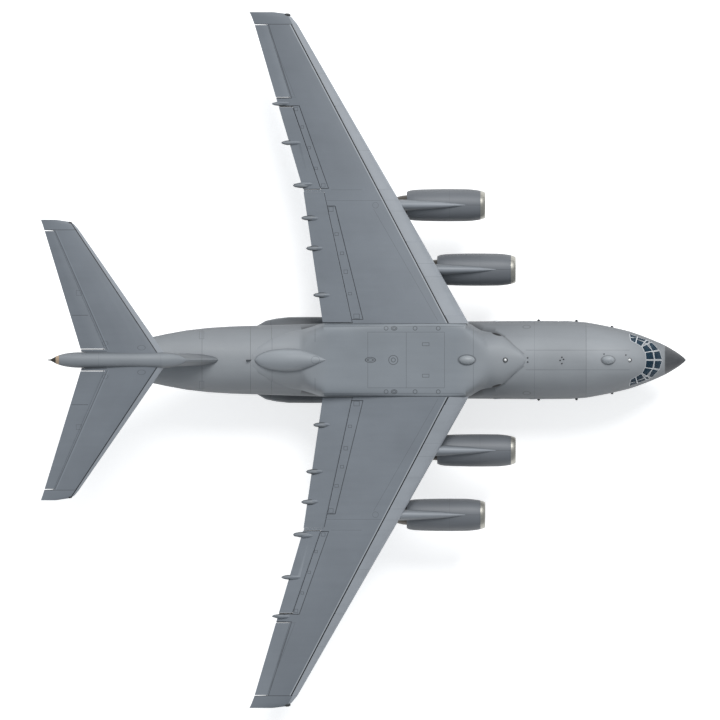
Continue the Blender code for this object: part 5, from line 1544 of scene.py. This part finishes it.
hoops = [hoop(-6.2 + 1.55 * i) for i in range(15)]
wear(together("hold_ribs", hoops), lining, "airframe")
rails = []
for y in (-1.25, -0.55, 0.55, 1.25):
    rails.append(box_piece("rail", (-6.6, y - 0.06, 2.345), (15.9, y + 0.06, 2.39)))
wear(together("floor_rails", rails), steel, "airframe")
canvas = grey_paint("seat_canvas", tint(120, 62, 44), roughness=0.9, streak=0.1)
benches = []
for side in (1, -1):
    for i in range(9):
        x = -5.4 + 2.2 * i
        benches.append(box_piece("bench", (x, side * 1.72, 2.80), (x + 2.0, side * 2.20, 2.86)))
        benches.append(box_piece("back", (x, side * 2.24, 2.95), (x + 2.0, side * 2.28, 3.85)))
for bench in benches:
    soften(bench, 0.008)
wear(together("hold_seats", benches), canvas, "airframe")
print("hold ribs", len(hoops), "benches", len(benches))

# %% [markdown]
# Round windows in the flanks and in the crew door are turned: a raised ring and a dark pane. The
# door also has a bar handle.

# %% Side windows and door handle
def flank_place(x, z, side):
    """Place on the fuselage's side, at full size."""
    width, belly, crown = between_rows(BODY, x)
    share = (z - (belly + crown) / 2.0) / ((crown - belly) / 2.0)
    return Vector((x, side * width * math.sqrt(1.0 - share * share), z))


def porthole(x, z, side, radius):
    """Ring and pane of one round window."""
    spot = flank_place(x, z, side) * HALF
    rim = lathe("rim", [(side * a, radius * r) for a, r in (
        (-0.03, 1.3), (0.006, 1.3), (0.010, 1.2), (0.010, 1.06), (0.004, 0.96), (-0.03, 0.96), (-0.03, 1.3),
    )], spot, "Y", 32)
    pane = lathe("pane", [(side * a, radius * r) for a, r in ((0.005, 0.0), (0.003, 0.98), (-0.03, 0.98))],
                 spot, "Y", 32)
    return rim, pane


rims, panes = [], []
for side in (1, -1):
    for x in (9.6, 12.2):
        rim, pane = porthole(x, 4.15, side, 0.075)
        rims.append(rim)
        panes.append(pane)
wear(together("window_rims", rims), frame_paint, "airframe")
wear(together("side_windows", panes), glass, "airframe")
door_rim, door_pane = porthole(14.62, 3.95, 1, 0.075)
wear(door_rim, frame_paint, "crew_door").name = "door_window_rim"
wear(door_pane, glass, "crew_door").name = "door_window"
spot = flank_place(14.86, 3.30, 1) * HALF
handle = pipe("door_handle", [spot + Vector(p) for p in (
    (-0.06, -0.01, 0.0), (-0.06, 0.018, 0.0), (0.06, 0.018, 0.0), (0.06, -0.01, 0.0))], 0.007)
wear(handle, steel, "crew_door")
print("side windows", len(rims) + 1)

# %% [markdown]
# Domes, blades and small lights break up the crown. Each is a turned or lofted form set a little
# into the skin. The pale domes are aerials, and the bright ones are lights. Three blade aerials
# and a red lamp sit on the belly.

# %% Domes, aerials and lights
aerial_paint = grey_paint("aerial_paint", tint(150, 155, 159), roughness=0.45, streak=0.15)
lamp_glass = Finish("lamp_glass", 0.1, 0.0, Coat_Weight=1.0)
glint = lamp_glass.noise(25.0)
lamp_glass.set("Base Color", lamp_glass.blend(glint, tint(205, 208, 210), tint(240, 240, 238)))


def egg(name, centre, radii, steps=24):
    """Smooth oval dome from a sphere primitive."""
    deselect()
    place, size = Vector(centre) * HALF, Vector(radii) * HALF
    bpy.ops.mesh.primitive_uv_sphere_add(
        segments=32, ring_count=steps, radius=1.0, location=place, scale=size
    )
    obj = bpy.context.object
    obj.name = name
    bpy.ops.object.transform_apply(location=True, rotation=True, scale=True)
    smooth(obj, 60.0)
    return obj


domes = [egg("dome", (17.68, 0.0, 6.80), (0.47, 0.29, 0.30)),
         egg("dome", (7.43, 0.0, 7.40), (0.58, 0.33, 0.32))]
wear(together("crown_domes", domes), aerial_paint, "airframe")
specks = [egg("foot", (10.22, 0.0, 7.12), (0.19, 0.18, 0.05)),
          egg("foot", (19.23, 0.0, 6.55), (0.17, 0.16, 0.05))]
specks += [egg("knob", place, (0.06, 0.05, 0.07)) for place in (
    (17.38, 0.43, 6.76), (18.97, 0.36, 6.58), (14.33, 0.20, 6.83), (14.20, -0.02, 6.85),
    (14.33, -0.25, 6.82), (11.85, 0.16, 6.84), (11.85, -0.14, 6.84), (14.45, 0.05, 6.85),
)]
for x in (12.66, 15.41, 17.99):
    width = between_rows(BODY, x)[0]
    for side in (1, -1):
        specks.append(egg("probe", (x, side * (width + 0.02), 4.0), (0.10, 0.09, 0.05)))
CROWN_BLADE = ((0.25, 6.7), (0.02, 7.1), (-0.15, 7.1), (-0.25, 6.7))
BELLY_BLADE = ((0.28, 1.25), (0.05, 0.84), (-0.20, 0.84), (-0.30, 1.25))


def aerial_blade(x, y, shape, thickness, bevel):
    """Upright blade in the plane's middle, from an outline of (ahead, height)."""
    outline = [Vector((x + ahead, y, z)) * HALF for ahead, z in shape]
    return plate("blade", outline, (0.0, thickness, 0.0), bevel)


blades = [aerial_blade(-8.36, -0.02, CROWN_BLADE, 0.02, 0.004)]
blades += [aerial_blade(x, -0.01, BELLY_BLADE, 0.015, 0.003) for x in (9.4, 12.3, -5.4)]
dark_trim = Finish("dark_trim", 0.6)
dark_trim.set("Base Color", dark_trim.blend(dark_trim.noise(20.0), tint(44, 46, 48), tint(66, 68, 70)))
wear(together("knobs_and_blades", specks + blades), dark_trim, "airframe")
tips = []
for side in (1, -1):
    tips.append(egg("tip_light", (-5.60, side * 25.02, 5.50), (0.26, 0.14, 0.07)))
    tips.append(egg("tip_light", (-21.30, side * 9.88, 14.20), (0.20, 0.12, 0.06)))
wear(together("tip_lights", tips), dark_trim, "airframe")
lamps = [egg("lamp", (10.22, 0.0, 7.17), (0.12, 0.11, 0.17)),
         egg("lamp", (19.23, 0.0, 6.58), (0.12, 0.11, 0.13))]
for side in (1, -1):
    lamps.append(egg("lamp", (17.35, side * 0.17, 1.32), (0.05, 0.10, 0.10)))
wear(together("crown_lamps", lamps), lamp_glass, "airframe")
red_glass = Finish("red_lamp_glass", 0.15, 0.0, Coat_Weight=1.0)
red_glass.set("Base Color", red_glass.blend(red_glass.noise(25.0), tint(150, 26, 22), tint(188, 44, 36)))
wear(egg("belly_beacon", (3.2, 0.0, 1.13), (0.14, 0.11, 0.12)), red_glass, "airframe")
